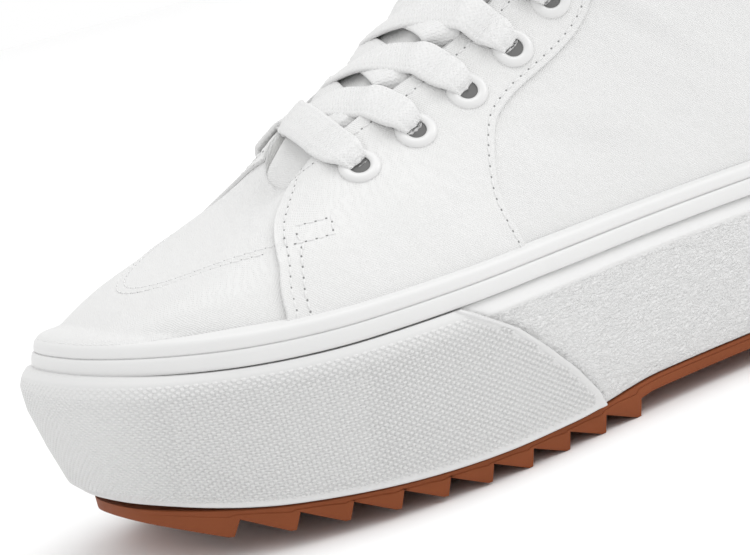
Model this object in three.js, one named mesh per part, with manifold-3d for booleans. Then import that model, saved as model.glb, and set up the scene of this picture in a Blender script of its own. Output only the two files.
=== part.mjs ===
// Platform sneaker, left shoe: a canvas high-top on a thick white platform with a gum sawtooth
// outsole. Millimetres, +Z up, floor at z = 0, toe toward -Y, outer (lateral) side toward +X.
//
// Along the shoe a place is given by its station s, counted from the toe. Around the shoe it is
// given by u, which runs 0..1 from the toe along the lateral side to the heel and back along the
// medial side, and up the upper by v, which runs 0..1 from the feather edge to the topline.
import * as THREE from 'three';
import { mergeVertices } from 'three/addons/utils/BufferGeometryUtils.js';
import Module from 'manifold-3d';

const wasm = await Module();
wasm.setup();

// ---------------------------------------------------------------- driving sizes

const GAP = 0.3; // between pieces that touch
const CENTRE = { x: 0.86, s: 141.35 }; // middle of the sole's plan, which becomes the origin

const RIM = { height: 43.8, spring: 7.3, break: 63.5 }; // top of the platform
const WHITE = { spring: 10.8, gum: 6.4, waistRise: 2.4, break: 101 }; // bottom of the platform
const PLAIN = { height: 4.8, margin: 4.5 }; // underside of the gum in the arch
const TREAD = { spring: 8.2, power: 1.5, break: 101 }; // tips of the teeth
const WAIST = { start: 114, front: 146, back: 194, end: 212 }; // arch, where the gum is plain
const TOOTH = { pitch: 12.45, depth: 4.4, lean: 18, land: 1.1, crowding: 0.035 };
const TOOTH_RUNS = [
  { last: 135.7, count: 10 }, // forefoot, down to the edge of the arch
  { last: 266, count: 5 }, // heel
];
const GUM_TOE = { s: 4, height: 1.6 }; // thin front edge of the outsole
const HEEL_BEVEL = { start: 270, rise: 2.5 };

const PLATFORM_INSET = 1.5; // platform wall behind the bumper's face
const BUMPER = { thickness: 2.4, gap: 0.3 };
const FOXING = { height: 7.5, groove: 4.2, step: 0.4 };
const FOOT_INSET = { side: 3.6, toe: 6.4 }; // feather edge of the upper inside the sole's outline
const FOXING_INSET = { side: 1.3, toe: 3.8, toeLean: 1.8 };
const INSOLE = { thickness: 4, side: 1.7, toe: 3.1 };
const WALL = { canvas: 2.3, collar: 3.8, padFrom: 136, padTo: 158 };
const EYELET = { outer: 5.3, hole: 2.75, barrel: 3.4, flange: 1.1, clearance: 0.45, seat: 14 };
const EYELET_ROW = { count: 8, firstRib: 3.86, lastRib: 8.93 };
const LACE = { width: 9, thickness: 1.6, lift: 1.0, overEdge: 1.1, stop: 2.9, steps: 5 };

const COLUMNS = 60; // facets around the shoe
const ROWS = 8; // facets up the upper
const ACROSS = { width: 160, from: -12, to: 296, below: -5, above: 60 }; // room round the whole sole

// One row for each rib of the last, from the toe along the lateral side, round the heel and back.
// s, x: outline of the sole. topS, topX, topZ: where the rib ends on the throat or the collar.
// lean, rise: how far in and up the canvas heads from the sole. out, drop: how it reaches the top.
const RIBS = [
  { s: 0.0, x: -9.3, topS: 74.0, topX: -1, topZ: 76.6, lean: 0.5, rise: 12, out: 45, drop: 12.5 },
  { s: 3.0, x: 12.4, topS: 74.6, topX: 5, topZ: 77.6, lean: 0.5, rise: 12, out: 43, drop: 12.5 },
  { s: 12, x: 27.0, topS: 76.2, topX: 10, topZ: 80.2, lean: 0.5, rise: 12, out: 39, drop: 14 },
  { s: 30, x: 39.8, topS: 80.0, topX: 14, topZ: 84.4, lean: 1.0, rise: 13, out: 29, drop: 18 },
  { s: 60, x: 51.2, topS: 89.5, topX: 17, topZ: 89.4, lean: 3.0, rise: 16, out: 19, drop: 19 },
  { s: 90, x: 53.6, topS: 107, topX: 18.5, topZ: 96.2, lean: 4.0, rise: 18, out: 15, drop: 20 },
  { s: 120, x: 49.6, topS: 128, topX: 19, topZ: 105.2, lean: 3.0, rise: 21, out: 13, drop: 21 },
  { s: 149, x: 45.0, topS: 147.5, topX: 19.5, topZ: 118.0, lean: 2.0, rise: 26, out: 12, drop: 24 },
  { s: 176, x: 42.6, topS: 162, topX: 20.5, topZ: 139.0, lean: 1.0, rise: 32, out: 10, drop: 30 },
  { s: 202, x: 41.8, topS: 173.5, topX: 23.5, topZ: 165.5, lean: 0.0, rise: 36, out: 5, drop: 42 },
  { s: 230, x: 40.6, topS: 203, topX: 29.5, topZ: 161.5, lean: -0.5, rise: 38, out: -1, drop: 48 },
  { s: 257, x: 35.0, topS: 238, topX: 28.0, topZ: 158.5, lean: -1.0, rise: 38, out: -3, drop: 46 },
  { s: 276, x: 20.5, topS: 259, topX: 15.5, topZ: 161, lean: -1.5, rise: 36, out: -3, drop: 44 },
  { s: 284, x: 0.5, topS: 265, topX: 0.0, topZ: 163.5, lean: -2.0, rise: 36, out: -3, drop: 44 },
  { s: 277, x: -18, topS: 259, topX: -15.0, topZ: 161, lean: -1.5, rise: 36, out: -3, drop: 44 },
  { s: 258, x: -31.5, topS: 238, topX: -26.5, topZ: 158.5, lean: -1.0, rise: 38, out: -3, drop: 46 },
  { s: 230, x: -35.5, topS: 203, topX: -28.5, topZ: 161.5, lean: -0.5, rise: 38, out: -1, drop: 48 },
  { s: 202, x: -34.5, topS: 173.5, topX: -23.5, topZ: 165.5, lean: 0.0, rise: 36, out: 5, drop: 42 },
  { s: 175, x: -35, topS: 162, topX: -20.5, topZ: 139.0, lean: 0.5, rise: 32, out: 9, drop: 30 },
  { s: 148, x: -40.5, topS: 147.5, topX: -19.5, topZ: 118.0, lean: 1.0, rise: 26, out: 11, drop: 24 },
  { s: 119, x: -48, topS: 128, topX: -19, topZ: 105.2, lean: 2.0, rise: 21, out: 13, drop: 21 },
  { s: 89, x: -51.8, topS: 107, topX: -18.5, topZ: 96.6, lean: 3.0, rise: 18, out: 15, drop: 20 },
  { s: 59, x: -50.5, topS: 89.5, topX: -17.5, topZ: 90.4, lean: 2.5, rise: 16, out: 19, drop: 19 },
  { s: 30, x: -45, topS: 80.0, topX: -15, topZ: 85.4, lean: 1.0, rise: 13, out: 29, drop: 18 },
  { s: 12, x: -37, topS: 76.2, topX: -11.5, topZ: 80.6, lean: 0.5, rise: 12, out: 39, drop: 14 },
  { s: 3.0, x: -25, topS: 74.6, topX: -6.5, topZ: 77.8, lean: 0.5, rise: 12, out: 43, drop: 12.5 },
];

// How far the sole's wall lies inside its outline at each level, 0 at the tread and 1 at the rim.
const WALL_LEVELS = [
  { level: -0.5, side: 3.4, toe: 11.5 },
  { level: 0.0, side: 3.0, toe: 8.4 },
  { level: 0.1, side: 2.5, toe: 5.2 },
  { level: 0.4, side: 1.6, toe: 2.4 },
  { level: 0.7, side: 0.6, toe: 0.2 },
  { level: 0.88, side: 0.0, toe: 0.0 },
  { level: 0.96, side: 0.3, toe: 1.0 },
  { level: 1.0, side: 1.2, toe: 2.4 },
  { level: 1.3, side: 1.2, toe: 2.4 },
];
const TOE_ZONE = { full: 6, none: 38 }; // stations between which the toe's own shape fades out

// Rear edge of the bumper in side view: station against height above the floor.
const BUMPER_EDGE = [
  { s: 84, z: 60 },
  { s: 88, z: 43.8 },
  { s: 94.5, z: 39.6 },
  { s: 102.5, z: 34.5 },
  { s: 110.5, z: 27 },
  { s: 118, z: 19 },
  { s: 123.5, z: 11.5 },
  { s: 125.5, z: 6 },
  { s: 126, z: -5 },
];

// Centre line of the tongue's face, its half width, how far its edges curl back, its thickness.
const TONGUE = [
  { s: 58, z: 66.6, half: 15, crown: 2.5, thick: 2 },
  { s: 70, z: 70.4, half: 17, crown: 4.5, thick: 2.4 },
  { s: 79, z: 77.5, half: 19, crown: 7, thick: 2.8 },
  { s: 89.5, z: 89.2, half: 21, crown: 12.5, thick: 3.2 },
  { s: 106, z: 98.8, half: 22, crown: 14.5, thick: 3.8 },
  { s: 126, z: 109, half: 22, crown: 15, thick: 4.4 },
  { s: 144, z: 121.5, half: 20, crown: 12.5, thick: 4.6 },
  { s: 157.5, z: 141.4, half: 16.5, crown: 8, thick: 4.8 },
  { s: 170, z: 167, half: 17, crown: 7, thick: 5.5 },
  { s: 177, z: 184, half: 22, crown: 8, thick: 5 },
];

const TONGUE_EDGE = { thinning: 0.45, rounding: 0.985 };

// ---------------------------------------------------------------- materials

const finish = (color, roughness, metalness = 0) =>
  new THREE.MeshStandardMaterial({ color, roughness, metalness });
const canvas = finish(0xf2f2f1, 0.9);
const lining = finish(0xe9e9e6, 0.9);
const whiteRubber = finish(0xeeeeed, 0.55);
const gumRubber = finish(0x84492f, 0.5);
const laceCotton = finish(0xf4f4f2, 0.85);
const enamel = finish(0xf3f3f2, 0.25, 0.1);

// ---------------------------------------------------------------- curves of the last

const clamp01 = (t) => Math.min(Math.max(t, 0), 1);
const smooth = (t) => clamp01(t) ** 2 * (3 - 2 * clamp01(t));
const mix = THREE.MathUtils.lerp;
const radians = THREE.MathUtils.degToRad;

const loop = (points) => new THREE.CatmullRomCurve3(points, true, 'centripetal');
const outlineCurve = loop(RIBS.map((rib) => new THREE.Vector3(rib.x, rib.s, 0)));
const toplineCurve = loop(RIBS.map((rib) => new THREE.Vector3(rib.topX, rib.topS, rib.topZ)));

const turn = (u) => u - Math.floor(u); // u brought back to 0..1
const ribU = (rib) => turn(rib / RIBS.length);

/** One column of the rib table at u, as a smooth cyclic curve. */
function cyclic(column, u) {
  const place = turn(u) * RIBS.length;
  const first = Math.floor(place);
  const t = place - first;
  const at = (step) => RIBS[(first + step + RIBS.length) % RIBS.length][column];
  const [a, b, c, d] = [at(-1), at(0), at(1), at(2)];
  return b + 0.5 * t * (c - a + t * (2 * a - 5 * b + 4 * c - d + t * (3 * (b - c) + d - a)));
}

/** Outward direction in plan of a loop of the last at u. */
function outward(curve, u) {
  const tangent = curve.getTangent(turn(u));
  return new THREE.Vector3(tangent.y, -tangent.x, 0).normalize();
}

/** Outline of the sole at u, moved inward by `inset`. */
function outline(u, inset) {
  const point = outlineCurve.getPoint(turn(u));
  return point.addScaledVector(outward(outlineCurve, u), -inset);
}

// ---------------------------------------------------------------- heights along the sole

const kick = (s, rise, end) => rise * clamp01((end - s) / end) ** 2;
const rimZ = (s) => RIM.height + kick(s, RIM.spring, RIM.break);
const treadZ = (s) => TREAD.spring * clamp01((TREAD.break - s) / TREAD.break) ** TREAD.power;
const heelBevelZ = (s) => HEEL_BEVEL.rise * smooth((s - HEEL_BEVEL.start) / 14);
const waist = (s) => {
  const enter = smooth((s - WAIST.start) / (WAIST.front - WAIST.start));
  const leave = smooth((s - WAIST.back) / (WAIST.end - WAIST.back));
  return enter - leave;
};
const whiteZ = (s) => WHITE.gum + kick(s, WHITE.spring, WHITE.break) + WHITE.waistRise * waist(s);
const footZ = (s) => rimZ(s) + GAP;

/** A size that has one value at the toe and another along the sides, at station s. */
function byZone({ side, toe }, s) {
  const frontness = 1 - smooth((s - TOE_ZONE.full) / (TOE_ZONE.none - TOE_ZONE.full));
  return mix(side, toe, frontness);
}

const outlineS = (u) => outlineCurve.getPoint(turn(u)).y;

// ---------------------------------------------------------------- the upper's surface

/** The upper's outer face: a rib from the feather edge (v = 0) to the topline (v = 1). */
function face(u, v) {
  const foot = outline(u, byZone(FOOT_INSET, outlineS(u)));
  foot.z = footZ(foot.y);
  const inward = outward(outlineCurve, u).negate();
  const head = toplineCurve.getPoint(turn(u));
  const out = outward(toplineCurve, u);
  const leave = foot.clone().addScaledVector(inward, cyclic('lean', u));
  leave.z += cyclic('rise', u);
  const arrive = head.clone().addScaledVector(out, cyclic('out', u));
  arrive.z -= cyclic('drop', u);
  return new THREE.CubicBezierCurve3(foot, leave, arrive, head).getPoint(v);
}

/** Outward normal of the upper's outer face. */
function faceNormal(u, v) {
  const step = 0.004;
  const across = face(u + step, v).sub(face(u - step, v));
  const up = face(u, Math.min(v + step, 1)).sub(face(u, Math.max(v - step, 0)));
  return across.cross(up).normalize();
}

/** Thickness of the wall at a height: canvas and lining, padded round the ankle. */
function wallThickness(z) {
  const pad = smooth((z - WALL.padFrom) / (WALL.padTo - WALL.padFrom));
  return mix(WALL.canvas, WALL.collar, pad);
}

/** The upper's inner face, one wall thickness inside the outer face. */
function lined(u, v) {
  const outer = face(u, v);
  const inner = outer.clone().addScaledVector(faceNormal(u, v), -wallThickness(outer.z));
  if (v === 0) inner.z = footZ(inner.y);
  return inner;
}

/** The v at which a rib reaches `height` above the feather edge. */
function vAtHeight(u, height) {
  const target = face(u, 0).z + height;
  let [low, high] = [0, 0.6];
  for (let i = 0; i < 20; i += 1) {
    const middle = (low + high) / 2;
    if (face(u, middle).z < target) low = middle;
    else high = middle;
  }
  return (low + high) / 2;
}

/** The v at which a rib is `distance` below the topline. */
function vBelowTop(u, distance) {
  const top = face(u, 1);
  let [low, high] = [0.3, 1];
  for (let i = 0; i < 20; i += 1) {
    const middle = (low + high) / 2;
    if (face(u, middle).distanceTo(top) > distance) low = middle;
    else high = middle;
  }
  return (low + high) / 2;
}

// ---------------------------------------------------------------- closed bodies

/** A mesh from points and triangles, turned so that its faces look outward. */
function closedGeometry(points, triangles) {
  let volume = 0;
  for (const [a, b, c] of triangles) {
    volume += points[a].dot(new THREE.Vector3().crossVectors(points[b], points[c]));
  }
  const faces = volume < 0 ? triangles.map(([a, b, c]) => [a, c, b]) : triangles;
  const geometry = new THREE.BufferGeometry().setFromPoints(points);
  return geometry.setIndex(faces.flat());
}

/** Joins neighbouring sections, each a closed polygon with the same number of points. */
function loft(sections, { ring }) {
  const size = sections[0].length;
  const points = sections.flat();
  const triangles = [];
  const spans = ring ? sections.length : sections.length - 1;
  for (let i = 0; i < spans; i += 1) {
    const here = i * size;
    const next = ((i + 1) % sections.length) * size;
    for (let j = 0; j < size; j += 1) {
      const k = (j + 1) % size;
      triangles.push([here + j, next + j, next + k], [here + j, next + k, here + k]);
    }
  }
  if (!ring) {
    const last = (sections.length - 1) * size;
    for (let j = 0; j < size / 2 - 1; j += 1) {
      const [p, q, r, t] = [j, j + 1, size - 2 - j, size - 1 - j];
      triangles.push([p, q, r], [p, r, t]);
      triangles.push([last + p, last + r, last + q], [last + p, last + t, last + r]);
    }
  }
  return closedGeometry(points, triangles);
}

/** A stack of level contours, closed by a fan below and above. */
function stack(levels) {
  const size = levels[0].length;
  const middle = (contour) =>
    contour.reduce((sum, point) => sum.add(point), new THREE.Vector3()).divideScalar(size);
  const points = [...levels.flat(), middle(levels[0]), middle(levels[levels.length - 1])];
  const [bottom, top] = [points.length - 2, points.length - 1];
  const triangles = [];
  for (let j = 0; j < size; j += 1) {
    const k = (j + 1) % size;
    for (let i = 0; i < levels.length - 1; i += 1) {
      const [low, high] = [i * size, (i + 1) * size];
      triangles.push([low + j, low + k, high + k], [low + j, high + k, high + j]);
    }
    const last = (levels.length - 1) * size;
    triangles.push([bottom, k, j], [top, last + j, last + k]);
  }
  return closedGeometry(points, triangles);
}

function toManifold(geometry) {
  const bare = geometry.clone();
  bare.deleteAttribute('normal');
  bare.deleteAttribute('uv');
  const welded = mergeVertices(bare, 1e-4);
  return new wasm.Manifold(
    new wasm.Mesh({
      numProp: 3,
      vertProperties: new Float32Array(welded.attributes.position.array),
      triVerts: new Uint32Array(welded.index.array),
    }),
  );
}

function toGeometry(manifold) {
  const { vertProperties, triVerts } = manifold.getMesh();
  const geometry = new THREE.BufferGeometry();
  geometry.setAttribute('position', new THREE.BufferAttribute(vertProperties, 3));
  return geometry.setIndex(Array.from(triVerts));
}

/** A solid right across the shoe, from a side-view polygon of [station, height] corners. */
function acrossShoe(corners) {
  const shape = new THREE.Shape(corners.map(([s, z]) => new THREE.Vector2(s, z)));
  const depth = ACROSS.width;
  const solid = new THREE.ExtrudeGeometry(shape, { depth, bevelEnabled: false });
  solid.translate(0, 0, -depth / 2);
  const axis = (x, y, z) => new THREE.Vector3(x, y, z);
  solid.applyMatrix4(new THREE.Matrix4().makeBasis(axis(0, 1, 0), axis(0, 0, 1), axis(1, 0, 0)));
  return toManifold(solid);
}

const range = (count, from, to) =>
  Array.from({ length: count + 1 }, (_, i) => mix(from, to, i / count));
const columns = range(COLUMNS, 0, 1).slice(0, -1);

/** Corners of a line of heights from the front of the sole to the back. */
const heightLine = (height) => range(28, ACROSS.from, ACROSS.to).map((s) => [s, height(s)]);

/** The side view between two height lines. */
const between = (low, high) => acrossShoe([...heightLine(low), ...heightLine(high).reverse()]);

// ---------------------------------------------------------------- sole

/** The sole's wall, moved out by `offset`, from below the tread to above the rim. */
function soleForm(offset) {
  const contours = WALL_LEVELS.map(({ level, side, toe }) =>
    columns.map((u) => {
      const s = outlineS(u);
      const point = outline(u, byZone({ side, toe }, s) - offset);
      point.z = mix(whiteZ(s), rimZ(s), level);
      return point;
    }),
  );
  return toManifold(stack(contours));
}

/** The side view ahead of the bumper's rear edge, moved back by `shift`. */
function bumperZone(shift) {
  const edge = BUMPER_EDGE.map(({ s, z }) => [s + shift, z]);
  return acrossShoe([[ACROSS.from, ACROSS.below], ...edge.reverse(), [ACROSS.from, ACROSS.above]]);
}

function platform() {
  const block = soleForm(-PLATFORM_INSET).intersect(between(whiteZ, rimZ));
  const recess = soleForm(8).subtract(soleForm(-BUMPER.thickness - BUMPER.gap));
  return block.subtract(recess.intersect(bumperZone(BUMPER.gap)));
}

function toeBumper() {
  const shell = soleForm(0).subtract(soleForm(-BUMPER.thickness));
  return shell.intersect(between(whiteZ, rimZ)).intersect(bumperZone(0));
}

/** Stations of the tips of one run of teeth, which crowd a little toward the toe. */
const tips = ({ last, count }) =>
  Array.from({ length: count }, (_, i) => count - 1 - i).map(
    (step) => last - TOOTH.pitch * step + TOOTH.crowding * step ** 2,
  );

/** Side-view corners of one run of teeth: each a land, a steep rear face and a long slope. */
function teeth(run) {
  return tips(run).flatMap((s) => {
    const pitchUp = Math.atan(treadZ(s) - treadZ(s + 1));
    const steep = radians(TOOTH.lean) + pitchUp;
    const tip = treadZ(s);
    const root = [s + TOOTH.depth * Math.sin(steep), tip + TOOTH.depth * Math.cos(steep)];
    return [[s - TOOTH.land, treadZ(s - TOOTH.land)], [s, tip], root];
  });
}

function outsole() {
  const roof = heightLine((s) => whiteZ(s) - GAP);
  const front = [
    [ACROSS.from, whiteZ(0) - GUM_TOE.height],
    [GUM_TOE.s, whiteZ(GUM_TOE.s) - GUM_TOE.height],
  ];
  const arch = [
    [WAIST.front - PLAIN.margin, PLAIN.height],
    [WAIST.end - PLAIN.margin, PLAIN.height],
  ];
  const heel = range(4, HEEL_BEVEL.start, ACROSS.to).map((s) => [s, heelBevelZ(s)]);
  const [forefootTeeth, heelTeeth] = TOOTH_RUNS.map(teeth);
  const floor = [...front, ...forefootTeeth, ...arch, ...heelTeeth, ...heel];
  const profile = acrossShoe([...floor, ...roof.reverse()]);
  return soleForm(-PLATFORM_INSET).intersect(profile);
}

/** The rubber strip round the foot of the upper, in two bands with a groove between. */
function foxing() {
  const sections = columns.map((u) => {
    const s = outlineS(u);
    const lean = byZone({ side: 0, toe: FOXING_INSET.toeLean }, s) / FOXING.height;
    const inner = (v) => face(u, v).addScaledVector(faceNormal(u, v), GAP);
    const outer = (height, step) => {
      const point = outline(u, byZone(FOXING_INSET, s) + step + lean * height);
      point.z = footZ(point.y) + height;
      return point;
    };
    const [bottom, top] = [inner(0), inner(vAtHeight(u, FOXING.height))];
    bottom.z = footZ(bottom.y);
    return [
      bottom,
      outer(0, 0),
      outer(FOXING.groove, 0),
      outer(FOXING.groove + 0.3, FOXING.step),
      outer(FOXING.height, FOXING.step),
      top,
    ];
  });
  return toManifold(loft(sections, { ring: true }));
}

function insole() {
  const contour = columns.map((u) => {
    const s = outlineS(u);
    const inset = byZone(FOOT_INSET, s) + WALL.canvas + byZone(INSOLE, s);
    const { x, y } = outline(u, inset);
    return new THREE.Vector2(x, y);
  });
  const shape = new THREE.Shape(contour);
  const prism = new THREE.ExtrudeGeometry(shape, { depth: ACROSS.above, bevelEnabled: false });
  return toManifold(prism).intersect(between(footZ, (s) => footZ(s) + INSOLE.thickness));
}

// ---------------------------------------------------------------- upper

/** Seats of one eyelet row, evenly spaced along a line below the edge of the throat. */
function eyeletSeats(side) {
  const place = (rib) => {
    const u = ribU(side * rib);
    return { u, v: vBelowTop(u, EYELET.seat) };
  };
  const samples = range(120, EYELET_ROW.firstRib, EYELET_ROW.lastRib);
  const seats = samples.map(place);
  const spots = seats.map(({ u, v }) => face(u, v));
  const run = [0];
  for (let i = 1; i < spots.length; i += 1) {
    run.push(run[i - 1] + spots[i].distanceTo(spots[i - 1]));
  }
  return range(EYELET_ROW.count - 1, 0, run[run.length - 1]).map((distance) => {
    const { u, v } = seats[run.findIndex((length) => length >= distance - 1e-6)];
    return { u, v, point: face(u, v), normal: faceNormal(u, v) };
  });
}

const SIDES = [
  { name: 'lateral', seats: eyeletSeats(1) },
  { name: 'medial', seats: eyeletSeats(-1) },
];

/** Places a geometry made along +Z on a seat of the upper. */
function onSeat(geometry, { point, normal }) {
  const turnTo = new THREE.Quaternion().setFromUnitVectors(new THREE.Vector3(0, 0, 1), normal);
  return geometry.applyQuaternion(turnTo).translate(point.x, point.y, point.z);
}

/** The upper's wall from feather edge to topline, grown by `room` all round. */
function shellForm(room) {
  const sections = columns.map((u) => {
    const levels = [0, ...range(ROWS - 1, vAtHeight(u, FOXING.height), 1)];
    const grown = (point, v, side) => {
      const lift = v === 1 ? room : 0;
      return point.addScaledVector(faceNormal(u, v), side * room).add({ x: 0, y: 0, z: lift });
    };
    return [
      ...levels.map((v) => grown(face(u, v), v, 1)),
      ...levels.toReversed().map((v) => grown(lined(u, v), v, -1)),
    ];
  });
  return toManifold(loft(sections, { ring: true }));
}

function upper() {
  const sides = 8;
  const radius = (EYELET.barrel + EYELET.clearance) / Math.cos(Math.PI / sides);
  const punches = SIDES.flatMap(({ seats }) => seats).map((seat) => {
    const punch = new THREE.CylinderGeometry(radius, radius, 16, sides).rotateX(Math.PI / 2);
    return toManifold(onSeat(punch, seat));
  });
  return punches.reduce((shell, punch) => shell.subtract(punch), shellForm(0));
}

/** A rolled flange on the canvas and a barrel through it. */
function eyelet(seat) {
  const wall = wallThickness(seat.point.z);
  const base = EYELET.clearance;
  const profile = [
    [EYELET.hole, -wall],
    [EYELET.barrel, -wall],
    [EYELET.barrel, base],
    [EYELET.outer, base],
    [EYELET.outer - 0.7, base + EYELET.flange],
    [EYELET.hole, base + EYELET.flange],
    [EYELET.hole, -wall],
  ].map(([radius, height]) => new THREE.Vector2(radius, height));
  const lathe = new THREE.LatheGeometry(profile, 8).rotateX(Math.PI / 2);
  return toManifold(onSeat(lathe, seat));
}

/** Across the tongue at one row of its table, grown by `room`: the face above, the lining below. */
function tongueSection(row, before, after, room) {
  const along = new THREE.Vector2(after.s - before.s, after.z - before.z).normalize();
  const place = (across, depth) => {
    const drop = row.crown * across ** 2 + depth;
    return new THREE.Vector3(row.half * across, row.s + along.y * drop, row.z - along.x * drop);
  };
  const acrosses = range(6, -1, 1);
  const wider = 1 + room / row.half;
  const top = acrosses.map((across) => place(across * wider, -room));
  const bottom = acrosses.toReversed().map((across) => {
    const thick = row.thick * (1 - TONGUE_EDGE.thinning * across ** 4);
    return place(across * wider * TONGUE_EDGE.rounding, thick + room);
  });
  return [...top, ...bottom];
}

/** The tongue grown by `room`. */
function tongueForm(room) {
  const last = TONGUE.length - 1;
  const sections = TONGUE.map((row, i) =>
    tongueSection(row, TONGUE[Math.max(i - 1, 0)], TONGUE[Math.min(i + 1, last)], room),
  );
  return toManifold(loft(sections, { ring: false }));
}

const tongue = () => tongueForm(0).subtract(shellForm(GAP));

// ---------------------------------------------------------------- lace

/** A flat strip of lace through stations of { point, normal }. */
function laceStrip(stations) {
  const path = new THREE.CatmullRomCurve3(stations.map(({ point }) => point), false, 'centripetal');
  const sections = range(LACE.steps, 0, 1).map((t) => {
    const point = path.getPoint(t);
    const place = t * (stations.length - 1);
    const first = Math.min(Math.floor(place), stations.length - 2);
    const [from, to] = [stations[first].normal, stations[first + 1].normal];
    const tangent = path.getTangent(t);
    const across = from.clone().lerp(to, place - first).cross(tangent).normalize();
    const up = tangent.clone().cross(across).normalize();
    const corner = (side, height) =>
      point
        .clone()
        .addScaledVector(across, (side * LACE.width) / 2)
        .addScaledVector(up, (height * LACE.thickness) / 2);
    return [corner(-1, -1), corner(-1, 1), corner(1, 1), corner(1, -1)];
  });
  return toManifold(loft(sections, { ring: false }));
}

/** The edge of the throat beside a seat. */
function throatEdge(seat) {
  return { point: face(seat.u, 1), normal: faceNormal(seat.u, 0.98) };
}

/** How far the tongue's face stands above a point of the throat, along its normal. */
function tongueRise(point, normal) {
  for (let i = 0; i < TONGUE.length - 1; i += 1) {
    const [from, to] = [TONGUE[i], TONGUE[i + 1]];
    const [runS, runZ] = [to.s - from.s, to.z - from.z];
    const [awayS, awayZ] = [from.s - point.y, from.z - point.z];
    const cross = normal.y * runZ - normal.z * runS;
    const part = (awayS * normal.z - awayZ * normal.y) / cross;
    if (part >= 0 && part <= 1) {
      const rise = (awayS * runZ - awayZ * runS) / cross;
      const across = point.x / mix(from.half, to.half, part);
      return rise - mix(from.crown, to.crown, part) * across ** 2;
    }
  }
  return 0;
}

/** A place part of the way across the throat, just clear of the tongue and of its edges. */
function overThroat(from, to, part) {
  const normal = from.normal.clone().lerp(to.normal, part).normalize();
  const chord = from.point.clone().lerp(to.point, part);
  const under = Math.max(tongueRise(chord, normal), LACE.overEdge);
  const rise = under + LACE.lift + LACE.thickness / 2;
  return { point: chord.addScaledVector(normal, rise), normal };
}

/** Where a strip stops on the eyestay, short of the eyelet's flange. */
function besideEyelet(seat) {
  const edge = throatEdge(seat);
  const normal = edge.normal.clone().lerp(seat.normal, 0.5).normalize();
  const reach = seat.point.distanceTo(edge.point);
  const part = 1 - (EYELET.outer + LACE.stop) / reach;
  const point = edge.point.clone().lerp(seat.point, part);
  return { point: point.addScaledVector(normal, LACE.thickness / 2 + 1.5 * LACE.lift), normal };
}

/** A strip that comes up inside the throat and goes over the far edge to its eyelet. */
function crossingStrip(lower, higher) {
  const [from, to] = [throatEdge(lower), throatEdge(higher)];
  const across = [0.16, 0.36, 0.6, 0.84, 0.97].map((part) => overThroat(from, to, part));
  return laceStrip([...across, besideEyelet(higher)]);
}

/** The first bar, straight across on the outside. */
function laceBar() {
  const [a, b] = SIDES.map(({ seats }) => seats[0]);
  const across = [0.03, 0.2, 0.5, 0.8, 0.97].map((part) =>
    overThroat(throatEdge(a), throatEdge(b), part),
  );
  return laceStrip([besideEyelet(a), ...across, besideEyelet(b)]);
}

/** The bar and every crossing above it, joined, and kept clear of the upper and the tongue. */
function lace() {
  const [lateral, medial] = SIDES.map(({ seats }) => seats);
  let joined = laceBar();
  for (let row = 0; row < EYELET_ROW.count - 1; row += 1) {
    joined = joined.add(crossingStrip(lateral[row], medial[row + 1]));
    joined = joined.add(crossingStrip(medial[row], lateral[row + 1]));
  }
  return joined.subtract(shellForm(GAP)).subtract(tongueForm(GAP));
}

// ---------------------------------------------------------------- assembly

const shoe = new THREE.Group();
shoe.position.set(-CENTRE.x, -CENTRE.s, 0);

function addPiece(name, form, material) {
  const mesh = new THREE.Mesh(toGeometry(form), material);
  mesh.name = name;
  shoe.add(mesh);
}

addPiece('outsole', outsole(), gumRubber);
addPiece('platform', platform(), whiteRubber);
addPiece('toe_bumper', toeBumper(), whiteRubber);
addPiece('foxing', foxing(), whiteRubber);
addPiece('insole', insole(), lining);
addPiece('upper', upper(), canvas);
addPiece('tongue', tongue(), canvas);
addPiece('lace', lace(), laceCotton);
for (const { name, seats } of SIDES) {
  seats.forEach((seat, i) => addPiece(`eyelet_${name}_${i + 1}`, eyelet(seat), enamel));
}

export default shoe;
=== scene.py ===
# Platform sneaker, left shoe: the visual model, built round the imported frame. Sizes are millimetres
# in (x across, s along from the toe, z up) and become metres in the frame's axes when a mesh is made.
import math

import bmesh
import bpy
import numpy as np
from mathutils import Matrix, Vector

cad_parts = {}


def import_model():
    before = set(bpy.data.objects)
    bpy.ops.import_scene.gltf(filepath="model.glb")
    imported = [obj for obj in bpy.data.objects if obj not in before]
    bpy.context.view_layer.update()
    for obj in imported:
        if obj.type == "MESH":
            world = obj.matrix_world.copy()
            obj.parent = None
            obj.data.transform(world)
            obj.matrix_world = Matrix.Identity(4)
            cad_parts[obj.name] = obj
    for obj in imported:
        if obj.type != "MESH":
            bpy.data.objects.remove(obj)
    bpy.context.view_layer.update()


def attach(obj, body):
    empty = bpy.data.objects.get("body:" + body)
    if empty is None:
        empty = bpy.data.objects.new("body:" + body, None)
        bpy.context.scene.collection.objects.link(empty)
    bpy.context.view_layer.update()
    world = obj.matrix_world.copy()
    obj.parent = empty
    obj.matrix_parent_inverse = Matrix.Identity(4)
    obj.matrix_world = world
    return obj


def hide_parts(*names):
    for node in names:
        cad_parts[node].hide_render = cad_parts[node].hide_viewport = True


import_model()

# ---- camera, first

CENTRE_X, CENTRE_S = 0.86, 141.35  # middle of the sole's plan, which is the origin


def world(points):
    """Millimetres along the shoe to metres in the frame."""
    moved = np.asarray(points, float) - np.array([CENTRE_X, CENTRE_S, 0.0])
    return moved * 0.001


CAMERA = {"azimuth": 64.0, "elevation": 10.4, "roll": 14.2, "distance": 0.58, "lens": 108.4}
CAMERA_SHIFT = (0.0053, 0.044)
CAMERA_TARGET = Vector(world([0.0, 90.0, 40.0]))


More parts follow.
